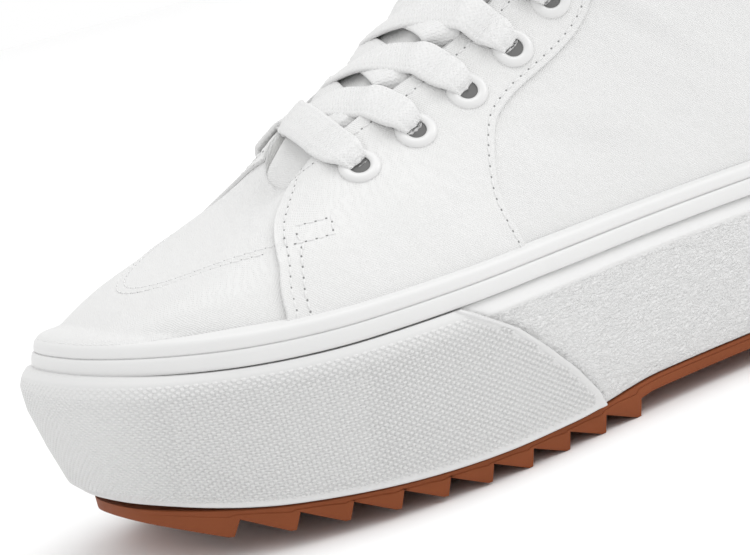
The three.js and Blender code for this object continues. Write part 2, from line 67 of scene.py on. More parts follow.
def make_camera():
    azimuth, elevation, roll = (math.radians(CAMERA[k]) for k in ("azimuth", "elevation", "roll"))
    level = math.cos(elevation)
    away = Vector((math.sin(azimuth) * level, -math.cos(azimuth) * level, math.sin(elevation)))
    right = Vector((math.cos(azimuth), math.sin(azimuth), 0.0))
    up = away.cross(right)
    image_right = right * math.cos(roll) - up * math.sin(roll)
    image_up = right * math.sin(roll) + up * math.cos(roll)
    data = bpy.data.cameras.new("camera")
    data.lens = CAMERA["lens"]
    data.sensor_width = 36.0
    data.shift_x, data.shift_y = CAMERA_SHIFT
    camera = bpy.data.objects.new("camera", data)
    columns = (image_right, image_up, away, CAMERA_TARGET + away * CAMERA["distance"])
    camera.matrix_world = Matrix([*zip(*columns), (0.0, 0.0, 0.0, 1.0)])
    bpy.context.scene.collection.objects.link(camera)
    bpy.context.scene.camera = camera


make_camera()

# ---- sizes of the last and the sole

GAP = 0.3
RIM_HEIGHT, RIM_SPRING, RIM_BREAK = 43.8, 7.3, 63.5
WHITE_SPRING, WHITE_GUM, WAIST_RISE, WHITE_BREAK = 10.8, 6.4, 2.4, 101
TREAD_SPRING, TREAD_POWER, TREAD_BREAK = 8.2, 1.5, 101
WAIST_FROM, WAIST_FRONT, WAIST_BACK, WAIST_TO = 114, 146, 194, 212
FOXING_HEIGHT = 7.5
FOOT_INSET = (3.6, 6.4)  # along the sides, and round the toe
FOXING_INSET = (1.3, 3.8)  # the same two places
FOXING_TOE_LEAN = 1.8
FOXING_LIP = (1.15, 7.45)  # where the canvas leaves it: in from its face, and above the platform
TOE_ZONE = (6, 38)
CANVAS_WALL, COLLAR_WALL, PAD_FROM, PAD_TO = 2.3, 3.8, 136, 158
ROUNDS = 440  # columns of the canvas and of the foxing round the shoe

# One row for each rib of the last, from the toe along the lateral side, round the heel and back.
RIB_FIELDS = ("s", "x", "top_s", "top_x", "top_z", "lean", "rise", "out", "drop")
RIB_ROWS = [
    (0.0, -9.3, 74.0, -1, 76.6, 0.5, 12, 45, 12.5),
    (3.0, 12.4, 74.6, 5, 77.6, 0.5, 12, 43, 12.5),
    (12, 27.0, 76.2, 10, 80.2, 0.5, 12, 39, 14),
    (30, 39.8, 80.0, 14, 84.4, 1.0, 13, 29, 18),
    (60, 51.2, 89.5, 17, 89.4, 3.0, 16, 19, 19),
    (90, 53.6, 107, 18.5, 96.2, 4.0, 18, 15, 20),
    (120, 49.6, 128, 19, 105.2, 3.0, 21, 13, 21),
    (149, 45.0, 147.5, 19.5, 118.0, 2.0, 26, 12, 24),
    (176, 42.6, 162, 20.5, 139.0, 1.0, 32, 10, 30),
    (202, 41.8, 173.5, 23.5, 165.5, 0.0, 36, 5, 42),
    (230, 40.6, 203, 29.5, 161.5, -0.5, 38, -1, 48),
    (257, 35.0, 238, 28.0, 158.5, -1.0, 38, -3, 46),
    (276, 20.5, 259, 15.5, 161, -1.5, 36, -3, 44),
    (284, 0.5, 265, 0.0, 163.5, -2.0, 36, -3, 44),
    (277, -18, 259, -15.0, 161, -1.5, 36, -3, 44),
    (258, -31.5, 238, -26.5, 158.5, -1.0, 38, -3, 46),
    (230, -35.5, 203, -28.5, 161.5, -0.5, 38, -1, 48),
    (202, -34.5, 173.5, -23.5, 165.5, 0.0, 36, 5, 42),
    (175, -35, 162, -20.5, 139.0, 0.5, 32, 9, 30),
    (148, -40.5, 147.5, -19.5, 118.0, 1.0, 26, 11, 24),
    (119, -48, 128, -19, 105.2, 2.0, 21, 13, 21),
    (89, -51.8, 107, -18.5, 96.6, 3.0, 18, 15, 20),
    (59, -50.5, 89.5, -17.5, 90.4, 2.5, 16, 19, 19),
    (30, -45, 80.0, -15, 85.4, 1.0, 13, 29, 18),
    (12, -37, 76.2, -11.5, 80.6, 0.5, 12, 39, 14),
    (3.0, -25, 74.6, -6.5, 77.8, 0.5, 12, 43, 12.5),
]
RIB = {name: np.array(column, float) for name, column in zip(RIB_FIELDS, zip(*RIB_ROWS))}
RIB_COUNT = len(RIB_ROWS)

# How far the sole's wall lies inside its outline at each level, 0 at the tread and 1 at the rim.
WALL_LEVEL = np.array([-0.5, 0.0, 0.1, 0.4, 0.7, 0.88, 0.96, 1.0, 1.3])
WALL_SIDE = np.array([3.4, 3.0, 2.5, 1.6, 0.6, 0.0, 0.3, 1.2, 1.2])
WALL_TOE = np.array([11.5, 8.4, 5.2, 2.4, 0.2, 0.0, 1.0, 2.4, 2.4])


class Loop:
    """A closed centripetal Catmull-Rom curve, spread evenly over its points."""

    def __init__(self, points):
        self.points = np.asarray(points, float)
        self.count = len(self.points)

    def at(self, t):
        place = np.mod(np.asarray(t, float), 1.0) * self.count
        first = np.floor(place).astype(int)
        w = (place - first)[..., None]
        p0, p1, p2, p3 = (self.points[(first + k) % self.count] for k in (-1, 0, 1, 2))

        def span(a, b):
            return np.maximum(np.sum((a - b) ** 2, axis=-1) ** 0.25, 1e-4)[..., None]

        d0, d1, d2 = span(p0, p1), span(p1, p2), span(p2, p3)
        m1 = ((p1 - p0) / d0 - (p2 - p0) / (d0 + d1) + (p2 - p1) / d1) * d1
        m2 = ((p2 - p1) / d1 - (p3 - p1) / (d1 + d2) + (p3 - p2) / d2) * d1
        return p1 + w * (m1 + w * (3 * (p2 - p1) - 2 * m1 - m2 + w * (2 * (p1 - p2) + m1 + m2)))


# The sole's plan, and the edge of the opening.
OUTLINE = Loop(np.stack([RIB["x"], RIB["s"], 0 * RIB["s"]], axis=1))
TOPLINE = Loop(np.stack([RIB["top_x"], RIB["top_s"], RIB["top_z"]], axis=1))


def smooth(t):
    t = np.clip(t, 0, 1)
    return t * t * (3 - 2 * t)


def bell(x):
    return np.exp(-x ** 2)


def dome(x):
    return np.sqrt(np.clip(1 - x ** 2, 0, 1))


def full_turn(count):
    """Shares of a full turn, the last one short of the start."""
    return np.linspace(0, 1, count, endpoint=False)


def station(u):
    return OUTLINE.at(u)[..., 1]


def unit(vectors):
    return vectors / np.linalg.norm(vectors, axis=-1, keepdims=True)


def catmull(a, b, c, d, t):
    """The smooth curve from b to c as t goes from 0 to 1."""
    return b + 0.5 * t * (c - a + t * (2 * a - 5 * b + 4 * c - d + t * (3 * (b - c) + d - a)))


def cyclic(name, u):
    """One column of the rib table at u, as a smooth cyclic curve."""
    place = np.mod(u, 1.0) * RIB_COUNT
    first = np.floor(place).astype(int)
    return catmull(*(RIB[name][(first + k) % RIB_COUNT] for k in (-1, 0, 1, 2)), place - first)


def outward(curve, u):
    along = curve.at(u + 1e-4) - curve.at(u - 1e-4)
    return unit(np.stack([along[..., 1], -along[..., 0], 0 * along[..., 0]], axis=-1))


def kick(s, rise, end):
    return rise * np.clip((end - s) / end, 0, 1) ** 2


def rim_z(s):
    return RIM_HEIGHT + kick(s, RIM_SPRING, RIM_BREAK)


def foot_z(s):
    return rim_z(s) + GAP


def tread_z(s):
    return TREAD_SPRING * np.clip((TREAD_BREAK - s) / TREAD_BREAK, 0, 1) ** TREAD_POWER


def waist(s):
    enter = smooth((s - WAIST_FROM) / (WAIST_FRONT - WAIST_FROM))
    return enter - smooth((s - WAIST_BACK) / (WAIST_TO - WAIST_BACK))


def white_z(s):
    return WHITE_GUM + kick(s, WHITE_SPRING, WHITE_BREAK) + WAIST_RISE * waist(s)


def by_zone(sizes, s):
    side, toe = sizes
    front = 1 - smooth((s - TOE_ZONE[0]) / (TOE_ZONE[1] - TOE_ZONE[0]))
    return side + (toe - side) * front


def outline(u, inset):
    return OUTLINE.at(u) - outward(OUTLINE, u) * np.asarray(inset)[..., None]


def face(u, v):
    """The upper's outer face: a rib from the feather edge (v = 0) to the topline (v = 1)."""
    u, v = np.broadcast_arrays(np.asarray(u, float), np.asarray(v, float))
    foot = outline(u, by_zone(FOOT_INSET, station(u)))
    foot[..., 2] = foot_z(foot[..., 1])
    leave = foot - outward(OUTLINE, u) * cyclic("lean", u)[..., None]
    leave[..., 2] += cyclic("rise", u)
    head = TOPLINE.at(u)
    arrive = head + outward(TOPLINE, u) * cyclic("out", u)[..., None]
    arrive[..., 2] -= cyclic("drop", u)
    t = v[..., None]
    ends = (1 - t) ** 3 * foot + t ** 3 * head
    return ends + 3 * t * (1 - t) ** 2 * leave + 3 * t * t * (1 - t) * arrive


def face_normal(u, v):
    u, v = np.broadcast_arrays(np.asarray(u, float), np.asarray(v, float))
    step = 0.002
    across = face(u + step, v) - face(u - step, v)
    up = face(u, np.minimum(v + step, 1)) - face(u, np.maximum(v - step, 0))
    return unit(np.cross(across, up))


def run_along(points):
    """Distance along each row of points, from its start."""
    steps = np.linalg.norm(np.diff(points, axis=0), axis=-1)
    return np.concatenate([0 * steps[:1], np.cumsum(steps, axis=0)])


def bisect(short, low, high):
    """Where `short` turns false between low and high, each value by itself."""
    for _ in range(20):
        middle = (low + high) / 2
        low, high = np.where(short(middle), middle, low), np.where(short(middle), high, middle)
    return (low + high) / 2

# ---- meshes from grids

class Pile:
    """Grids of points gathered into one mesh."""

    def __init__(self):
        self.points, self.faces, self.uvs, self.slots = [], [], [], []
        self.count = 0

    def add(self, points, faces, uvs=None, slot=0):
        points = np.asarray(points, float).reshape(-1, 3)
        for i, face_points in enumerate(faces):
            self.faces.append([int(p) + self.count for p in face_points])
            self.uvs.extend(uvs[i] if uvs is not None else [(0.0, 0.0)] * len(face_points))
            self.slots.append(slot if np.isscalar(slot) else int(slot[i]))
        self.points.append(points)
        self.count += len(points)

    def grid(self, points, closed=(False, False), flip=False, slot=0):
        """A grid of points, n along by m across, with UVs in millimetres."""
        n, m = points.shape[:2]
        rows, cols = (size if shut else size - 1 for size, shut in zip((n, m), closed))
        i, j = (a.ravel() for a in np.meshgrid(np.arange(rows), np.arange(cols), indexing="ij"))
        i2, j2 = (i + 1) % n, (j + 1) % m
        faces = np.stack([i * m + j, i2 * m + j, i2 * m + j2, i * m + j2], axis=1)
        middles = (points[:, m // 2], points[n // 2])
        u, w = (run_along(np.vstack([line, line[:1]])) for line in middles)
        along, across = np.stack([i, i + 1, i + 1, i], axis=1), np.stack([j, j, j + 1, j + 1], axis=1)
        uvs = np.stack([u[along], w[across]], axis=2)
        if flip:
            faces, uvs = faces[:, ::-1], uvs[:, ::-1]
        self.add(points, faces, uvs, slot)

    def fan(self, ring, centre=None, flip=False, slot=0):
        """Closes a ring of points onto one centre point, its middle unless given."""
        n = len(ring)
        faces = [(i, (i + 1) % n, n)[::-1 if flip else 1] for i in range(n)]
        self.add(np.vstack([ring, ring.mean(axis=0) if centre is None else centre]), faces, slot=slot)

    def tube(self, rings, flip=False):
        """Closed rings one after another, with both ends shut."""
        self.grid(rings, closed=(False, True), flip=flip)
        self.fan(rings[0], flip=flip)
        self.fan(rings[-1], flip=not flip)

    def barrel(self, staves):
        """A grid closed round its first direction, with both rims shut."""
        self.grid(staves, closed=(True, False))
        self.fan(staves[:, 0])
        self.fan(staves[:, -1], flip=True)


def make_piece(name, pile, materials, replaces=(), sharp=None, weld=0.0):
    """One visible piece on the root body, with the node it stands for."""
    mesh = bpy.data.meshes.new(name)
    mesh.from_pydata(world(np.vstack(pile.points)).tolist(), [], pile.faces)
    layer = mesh.uv_layers.new(name="millimetres")
    layer.data.foreach_set("uv", np.asarray(pile.uvs, float).ravel())
    mesh.polygons.foreach_set("material_index", pile.slots)
    mesh.polygons.foreach_set("use_smooth", [True] * len(mesh.polygons))
    for item in materials:
        mesh.materials.append(item)
    if weld:
        work = bmesh.new()
        work.from_mesh(mesh)
        bmesh.ops.remove_doubles(work, verts=work.verts, dist=weld * 0.001)
        bmesh.ops.dissolve_degenerate(work, edges=work.edges, dist=1e-7)
        work.to_mesh(mesh)
        work.free()
    if sharp is not None:
        mesh.set_sharp_from_angle(angle=math.radians(sharp))
    mesh.validate()
    mesh.update()
    piece = bpy.data.objects.new(name, mesh)
    bpy.context.scene.collection.objects.link(piece)
    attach(piece, "root")
    if replaces:
        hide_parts(*replaces)
    return piece


# ---- materials

class Shader:
    """A node material with a few short ways to add to it."""

    def __init__(self, name, colour, roughness, **sockets):
        self.material = bpy.data.materials.new(name)
        self.material.use_nodes = True
        self.tree = self.material.node_tree
        self.bsdf = self.tree.nodes["Principled BSDF"]
        self.bsdf.inputs["Base Color"].default_value = (*colour, 1)
        self.bsdf.inputs["Roughness"].default_value = roughness
        for socket, value in sockets.items():
            self.bsdf.inputs[socket.replace("_", " ")].default_value = value
        self.colour = colour
        self.height = None

    def node(self, kind, inputs=(), **settings):
        made = self.tree.nodes.new(kind)
        for key, value in settings.items():
            setattr(made, key, value)
        for key, value in dict(inputs).items():
            if isinstance(value, bpy.types.NodeSocket):
                self.tree.links.new(value, made.inputs[key])
            else:
                made.inputs[key].default_value = value
        return made

    def maths(self, operation, a, b=0.0, c=0.0):
        return self.node("ShaderNodeMath", {0: a, 1: b, 2: c}, operation=operation).outputs[0]

    def vectors(self, operation, a, b):
        return self.node("ShaderNodeVectorMath", {0: a, 1: b}, operation=operation).outputs[0]

    def object_mm(self):
        return self.vectors("MULTIPLY", self.node("ShaderNodeTexCoord").outputs["Object"], (1000.0,) * 3)

    def split(self, vector):
        return self.node("ShaderNodeSeparateXYZ", {0: vector}).outputs

    def noise(self, vector, scale, detail=3.0, stretch=(1, 1, 1), roughness=0.5, distortion=0.0):
        moved = self.vectors("MULTIPLY", vector, stretch)
        settings = {"Vector": moved, "Scale": scale, "Detail": detail, "Roughness": roughness}
        return self.node("ShaderNodeTexNoise", {**settings, "Distortion": distortion}).outputs["Fac"]

    def ramp(self, value, low, high, from_low=0.0, from_high=1.0):
        settings = {"Value": value, "From Min": from_low, "From Max": from_high}
        return self.node("ShaderNodeMapRange", {**settings, "To Min": low, "To Max": high}).outputs[0]

    def vary(self, value, dark, light=1.0):
        """Multiplies the base colour by something between dark and light."""
        shade = self.ramp(value, dark, light)
        mixed = self.node("ShaderNodeVectorMath", {0: self.colour, "Scale": shade}, operation="SCALE")
        self.tree.links.new(mixed.outputs[0], self.bsdf.inputs["Base Color"])

    def bump(self, height, distance_mm, strength=1.0):
        settings = {"Height": height, "Distance": distance_mm * 0.001, "Strength": strength}
        if self.height is not None:
            settings["Normal"] = self.height
        self.height = self.node("ShaderNodeBump", settings).outputs[0]
        self.tree.links.new(self.height, self.bsdf.inputs["Normal"])


def woven(name, colour, thread, depth, roughness=0.9, shade=0.955):
    """Plain-woven cotton: threads along and up on the sides, along and across on top."""
    made = Shader(name, colour, roughness, Sheen_Weight=0.12, Sheen_Roughness=0.5)
    place = made.object_mm()
    x, y, z = made.split(place)
    wobble = made.noise(place, 0.35, 2.0)

    def threads(axis, waver):
        return made.maths("SINE", made.maths("MULTIPLY_ADD", axis, 2 * math.pi / thread,
                                             made.maths("MULTIPLY", wobble, waver)))

    normal = made.split(made.node("ShaderNodeTexCoord").outputs["Normal"])
    on_top = made.ramp(made.maths("ABSOLUTE", normal[2]), 0.0, 1.0, 0.66, 0.86)
    weft = made.maths("ADD", made.maths("MULTIPLY", threads(x, 7.0), on_top),
                      made.maths("MULTIPLY", threads(z, 7.0), made.maths("SUBTRACT", 1.0, on_top)))
    weave = made.ramp(made.maths("MULTIPLY", threads(y, 9.0), weft), 0.0, 1.0, -1.0, 1.0)
    slub = made.noise(place, 1.6, 4.0, stretch=(0.6, 1.0, 0.35))
    made.bump(made.noise(place, 0.12, 3.0), 0.5, 0.35)
    made.bump(slub, 0.2, 0.25)
    made.bump(weave, depth, 0.75)
    worn = made.maths("ADD", made.maths("MULTIPLY", weave, 0.55), made.maths("MULTIPLY", slub, 0.45))
    made.vary(worn, shade)
    return made.material


def laced(name, colour):
    """Tubular flat lace: fine slanted yarns in columns, by the strip's own length and width."""
    made = Shader(name, colour, 0.92, Sheen_Weight=0.25, Sheen_Roughness=0.45)
    u, w, _ = made.split(made.node("ShaderNodeUVMap", uv_map="millimetres").outputs[0])
    slant = made.maths("MULTIPLY", made.maths("PINGPONG", w, 0.8), 3.1)
    yarn = made.maths("SINE", made.maths("ADD", made.maths("MULTIPLY", u, 2 * math.pi / 0.95), slant))
    fuzz = made.noise(made.object_mm(), 2.6, 4.0)
    made.bump(fuzz, 0.25, 0.6)
    made.bump(made.ramp(yarn, 0.0, 1.0, -1.0, 1.0), 0.14, 0.8)
    made.vary(fuzz, 0.95)
    return made.material


def rubber(name, colour, roughness, grain_mm, depth, shade=0.97, **sockets):
    """Moulded rubber, paint, or a plain dark surface that is painted shade, with a soft grain."""
    made = Shader(name, colour, roughness, **sockets)
    place = made.object_mm()
    made.bump(made.noise(place, 0.06, 2.0), 0.4, 0.3)
    made.bump(made.noise(place, 1.0 / grain_mm), depth, 0.7)
    made.vary(made.noise(place, 0.08, 4.0), shade)
    return made.material


def wrinkled(name, colour):
    """The platform's side: a fine creased leather-like grain below a smooth rim."""
    made = Shader(name, colour, 0.5)
    place = made.object_mm()
    drift = made.noise(place, 0.5)
    push = made.node("ShaderNodeCombineXYZ", {0: drift, 1: drift, 2: drift}).outputs[0]
    bent = made.vectors("ADD", made.vectors("MULTIPLY", place, (0.75, 0.62, 1.4)), push)
    cells = made.noise(bent, 1.15, 2.6, roughness=0.62, distortion=0.8)
    ridge = made.ramp(made.maths("ABSOLUTE", made.maths("SUBTRACT", cells, 0.5)), 1.0, 0.0, 0.0, 0.15)
    below = made.ramp(made.split(place)[2], 1.0, 0.0, 39.0, 40.2)
    made.bump(made.maths("MULTIPLY", ridge, below), 0.23, 0.8)
    made.vary(made.noise(place, 0.08, 4.0), 0.97)
    return made.material


canvas = woven("canvas", (0.73, 0.73, 0.726), 0.72, 0.18)
canvas_panel = woven("canvas_panel", (0.735, 0.735, 0.731), 0.72, 0.18)
lining = woven("cotton_lining", (0.70, 0.70, 0.69), 0.9, 0.10)
lace_yarn = laced("lace_yarn", (0.74, 0.74, 0.737))
thread = laced("sewing_thread", (0.74, 0.74, 0.737))
foxing_rubber = rubber("foxing_rubber", (0.70, 0.70, 0.697), 0.42, 0.9, 0.03)
# The bumper's white is set darker than the foxing's to match how dark it looks: painted shade for its
# undercut face and the floor's shadow beside it.
bumper_rubber = rubber("bumper_rubber", (0.67, 0.67, 0.667), 0.45, 0.5, 0.012, shade=0.985)
platform_rubber = wrinkled("platform_rubber", (0.745, 0.745, 0.742))
gum_rubber = rubber("gum_rubber", (0.25, 0.070, 0.026), 0.62, 0.6, 0.06, shade=0.82, Specular_IOR_Level=0.14)
# Grey marks at the needle holes: painted shade standing for the shadow inside each hole.
needle_hole_shade = rubber("needle_hole_shade", (0.24, 0.24, 0.24), 0.9, 0.4, 0.02)
# A near-black sheet for the eyelets' holes: painted shade standing for the hole's dark depth.
painted_hole_shade = rubber("painted_hole_shade", (0.15, 0.15, 0.148), 0.95, 0.5, 0.02)
enamel = rubber("white_enamel", (0.68, 0.68, 0.677), 0.28, 1.5, 0.02, shade=0.98, Coat_Weight=0.15)

# ---- the upper's skin

PANEL_THICK = 1.1
CAP_ROWS = ((28.4, 0.0315), (26.2, 0.0300))  # the toe cap's two rows: s on the centre line, and its bend
# Soft creases of the quarters: where, how steep in side view, how deep and how long.
CREASES = [
    (98, 62, 0.35, 0.7, 16),
    (140, 70, -0.4, 0.8, 18),
    (168, 92, -0.9, 1.1, 15),
    (196, 96, 0.7, 1.0, 16),
    (214, 112, -0.5, 0.9, 18),
    (240, 92, 0.5, 0.7, 14),
    (228, 136, 0.25, 0.8, 18),
]


def relief(u, v):
    """Soft undulations of the canvas, in millimetres, none at its sewn edges."""
    spot = face(u, v)
    x, s, z = spot[..., 0], spot[..., 1], spot[..., 2]
    waves = 0.30 * np.sin(s / 9.5 + 1.3) * np.sin(z / 13 + 0.4) + 0.18 * np.sin(s / 5.1 + z / 7.7)
    waves += 0.22 * np.sin(s / 17 - z / 9 + 2.0) + 0.16 * np.sin(x / 6.3 + s / 11)
    crease = 0.0
    for at_s, at_z, slope, depth, reach in CREASES:
        line = (z - at_z) - slope * (s - at_s)
        near = bell((s - at_s) / reach)
        crease = crease - 0.5 * depth * near * bell(line / 4.2)
        crease = crease + 0.35 * depth * near * bell((line - 7.0) / 4.8)
    edge = smooth(v / 0.3) * smooth((1 - v) / 0.22)
    cap = CAP_ROWS[0][0] + CAP_ROWS[0][1] * x ** 2 - s
    toe_top = smooth((z - 52) / 6) * smooth((74 - s) / 6) * smooth((33.5 - np.abs(x)) / 3.5)
    step = 0.34 * smooth(cap / 1.2 + 0.5) * np.exp(-np.clip(cap, 0, None) / 5.0) * toe_top
    dip = -0.24 * (bell((cap - 0.4) / 0.6) + bell((cap - 2.5) / 0.6)) * toe_top
    return edge * (waves + crease) * 0.8 + (step + dip) * smooth((1 - v) / 0.05)


def wall_thickness(z):
    return CANVAS_WALL + (COLLAR_WALL - CANVAS_WALL) * smooth((z - PAD_FROM) / (PAD_TO - PAD_FROM))


def skin(u, v, lift=0.0):
    """A point of the canvas, lifted off it by so much."""
    return face(u, v) + face_normal(u, v) * (relief(u, v) + lift)[..., None]


def behind_foxing(u):
    """v where the canvas comes out from behind the foxing's top."""
    level = foot_z(station(u)) + FOXING_HEIGHT + 0.7
    return bisect(lambda v: face(u, v)[..., 2] < level, 0 * u, 0 * u + 0.6)


def foxing_point(u, inset, height):
    """So far in from the foxing's face and so high above the platform."""
    s = station(u)
    lean = by_zone((0.0, FOXING_TOE_LEAN), s) / FOXING_HEIGHT
    spot = outline(u, by_zone(FOXING_INSET, s) + inset + lean * height)
    spot[..., 2] = foot_z(spot[..., 1]) + height
    return spot


def at_toe(u):
    """1 round the toe, fading to 0 along the sides."""
    return by_zone((0.0, 1.0), station(u))


def toe_box(rounds, heights, outer):
    """Fills the canvas out round the toe, so that it rises from the foxing's own edge."""
    high = behind_foxing(rounds)
    share = np.clip(heights[None] / high[:, None], 0, 1)[..., None]
    rows = (face(rounds, 0 * rounds), foxing_point(rounds, *FOXING_LIP), skin(rounds, high))
    foot, lip, top = (row[:, None] for row in rows)
    turn = 0.2  # the share of the canvas that is turned up behind the foxing
    t = np.clip((share - turn) / (1 - turn), 0, 1)
    reach = np.linalg.norm(top - lip, axis=-1, keepdims=True)
    leave = unit((top - lip) / reach + np.array([0.0, 0.0, 0.9])) * reach
    arrive = unit(face(rounds, high + 0.05) - face(rounds, high))[:, None] * reach
    above = lip + (top - lip) * t ** 2 * (3 - 2 * t) + leave * t * (1 - t) ** 2 - arrive * t ** 2 * (1 - t)
    filled = np.where(share < turn, foot + (lip - foot) * share / turn, above)
    return np.where(share < 1, outer + (filled - outer) * at_toe(rounds)[:, None, None], outer)


def upper_shell():
    rounds = full_turn(ROUNDS)
    outer_v = np.linspace(0, 1, 104)
    u, v = np.meshgrid(rounds, outer_v, indexing="ij")
    collar = smooth((face(u, v)[..., 1] - 176) / 26) * smooth((face(u, v)[..., 2] - 128) / 14)
    puff = 0.9 * collar * np.sin(np.pi * np.clip((v - 0.72) / 0.28, 0, 1)) ** 0.8
    outer = toe_box(rounds, outer_v, skin(u, v, puff))
    u, v = np.meshgrid(rounds, np.linspace(1, 0, 40), indexing="ij")
    inner = skin(u, v, -wall_thickness(face(u, v)[..., 2]))
    inner[:, -1, 2] = foot_z(inner[:, -1, 1])
    middle, half = (outer[:, -1] + inner[:, 0]) / 2, (outer[:, -1] - inner[:, 0]) / 2
    rise = np.array([0.0, 0.0, 1.0]) * np.linalg.norm(half, axis=1)[:, None] * 0.8
    over = np.linspace(0, np.pi, 9)[1:-1]
    roll = np.stack([middle + half * np.cos(a) + rise * np.sin(a) for a in over], axis=1)
    section = np.concatenate([outer, roll, inner], axis=1)
    slots = np.zeros(section.shape[:2], int)
    slots[:, len(outer_v) + 3:] = 1
    pile = Pile()
    pile.grid(section, closed=(True, True), slot=slots.ravel())
    make_piece("canvas_upper", pile, [canvas, lining], ["upper"])


upper_shell()

# ---- curves on the skin

def resample(u, v, step, start):
    """Points every `step` millimetres along a curve drawn on the skin."""
    fine, knots = np.linspace(0, 1, 800), np.linspace(0, 1, len(u))
    u, v = np.interp(fine, knots, u), np.interp(fine, knots, v)
    run = run_along(face(u, v))
    want = np.arange(start, run[-1] + 1e-6, step)
    return np.interp(want, run, u), np.interp(want, run, v)


def spline(values, count):
    """A smooth open curve through a short list of values."""
    values = np.asarray(values, float)
    ends = np.vstack([2 * values[0] - values[1], values, 2 * values[-1] - values[-2]])
    place = np.linspace(0, len(values) - 1, count)
    first = np.minimum(place.astype(int), len(values) - 2)
    return catmull(*(ends[first + k] for k in range(4)), (place - first)[:, None])


def from_above(rows):
    """u, v of plan points (x, s) on the vamp, by Newton's method."""
    u = np.sign(rows[:, 0]) * np.interp(np.abs(rows[:, 0]), [0, 35], [0.0, 0.10])
    v, step = np.full(len(rows), 0.6), 1e-4
    for _ in range(12):
        here = face(u, v)[:, :2].T
        by_u = (face(u + step, v)[:, :2].T - here) / step
        by_v = (face(u, v + step)[:, :2].T - here) / step
        miss = here - rows.T
        det = by_u[0] * by_v[1] - by_u[1] * by_v[0]
        det = np.where(np.abs(det) < 1e-6, 1e-6, det)
        u = u - np.clip((miss[0] * by_v[1] - miss[1] * by_v[0]) / det, -0.02, 0.02)
        v = np.clip(v - np.clip((by_u[0] * miss[1] - by_u[1] * miss[0]) / det, -0.1, 0.1), 0.0, 1.0)
    return u, v


def beside(u, v, distance):
    """The curve moved sideways on the skin, to its right seen from outside."""
    step = 1e-3
    aim = np.cross(unit(np.gradient(face(u, v), axis=0)), face_normal(u, v)) * distance
    by_u = (face(u + step, v) - face(u - step, v)) / (2 * step)
    by_v = (face(u, np.minimum(v + step, 1)) - face(u, np.maximum(v - step, 0))) / (2 * step)
    pairs = ((by_u, by_u), (by_u, by_v), (by_v, by_v), (aim, by_u), (aim, by_v))
    uu, uv, vv, au, av = (np.sum(a * b, axis=1) for a, b in pairs)
    det = uu * vv - uv * uv
    return u + (au * vv - av * uv) / det, np.clip(v + (av * uu - au * uv) / det, 0, 1)

# ---- overlaid panels and stitches

# Edges of the eyestay panel on the lateral skin: round the shoe (u) and up the rib (v).
FRONT_EDGE = [
    (0.1350, 0.03), (0.1340, 0.14), (0.1310, 0.26), (0.1190, 0.49), (0.1130, 0.57), (0.0990, 0.72),
    (0.0920, 0.80), (0.0860, 0.87), (0.0780, 0.94), (0.0680, 1.00),
]
REAR_EDGE = [
    (0.2225, 0.02), (0.2215, 0.11), (0.2195, 0.21), (0.2170, 0.32), (0.2165, 0.42), (0.2178, 0.52),
    (0.2205, 0.60), (0.2240, 0.645), (0.2320, 0.672), (0.2415, 0.68), (0.2580, 0.678), (0.2790, 0.675),
    (0.2920, 0.69), (0.3060, 0.715), (0.3200, 0.76), (0.3340, 0.83), (0.3470, 0.915), (0.3585, 1.00),
]
TACK_BOX = [(0.1135, 0.705), (0.1315, 0.675), (0.1372, 0.575), (0.1205, 0.605)]
THROAT_START_U, CORNER_U, MEDIAL_SET_BACK = 0.068, 9.0 / 26, 0.030
BACK_SEAM_U = 0.5 - 0.0048
SIDE_NAMES = {1: "lateral", -1: "medial"}
STITCH = {"pitch": 2.9, "length": 2.15, "radius": 0.30, "height": 0.22, "sag": 0.16}
# Each needle hole is a small dark lump on the skin: painted shade for the hole's inside.
NEEDLE_HOLE = (0.30, 0.24, 0.07)  # half along the row, half across it, half deep
# Points up the front edge and along the throat, and the share of the rear edge that faces the front one.
PANEL_ROWS, REAR_CUT = (90, 230), 0.26


def panel_edges(side):
    """Front edge, throat edge and rear edge of the eyestay panel, each as u, v."""
    front = mirrored(side, spline(FRONT_EDGE, 120))
    start_u = THROAT_START_U
    if side < 0:
        front[0] -= MEDIAL_SET_BACK * front[1] ** 2
        start_u += MEDIAL_SET_BACK
    rear = mirrored(side, spline(REAR_EDGE, 240))
    throat_u = side * np.linspace(start_u, CORNER_U, 120)
    return front, np.stack([throat_u, np.ones(120)]), rear


def mirrored(side, rows):
    """Rows of (u, v) drawn for the lateral side, on this side."""
    return np.stack([side * rows[:, 0], np.clip(rows[:, 1], 0, 1)])


def even(curve, count):
    """A curve on the skin at evenly spaced points."""
    run = run_along(face(*curve))
    want = np.linspace(0, run[-1], count)
    return np.stack([np.interp(want, run, row) for row in curve])


def rounded(distance, radius):
    """Height of a rolled edge at a distance from it, as a share of the full height."""
    return dome(1 - np.clip(distance / radius, 0, 1))


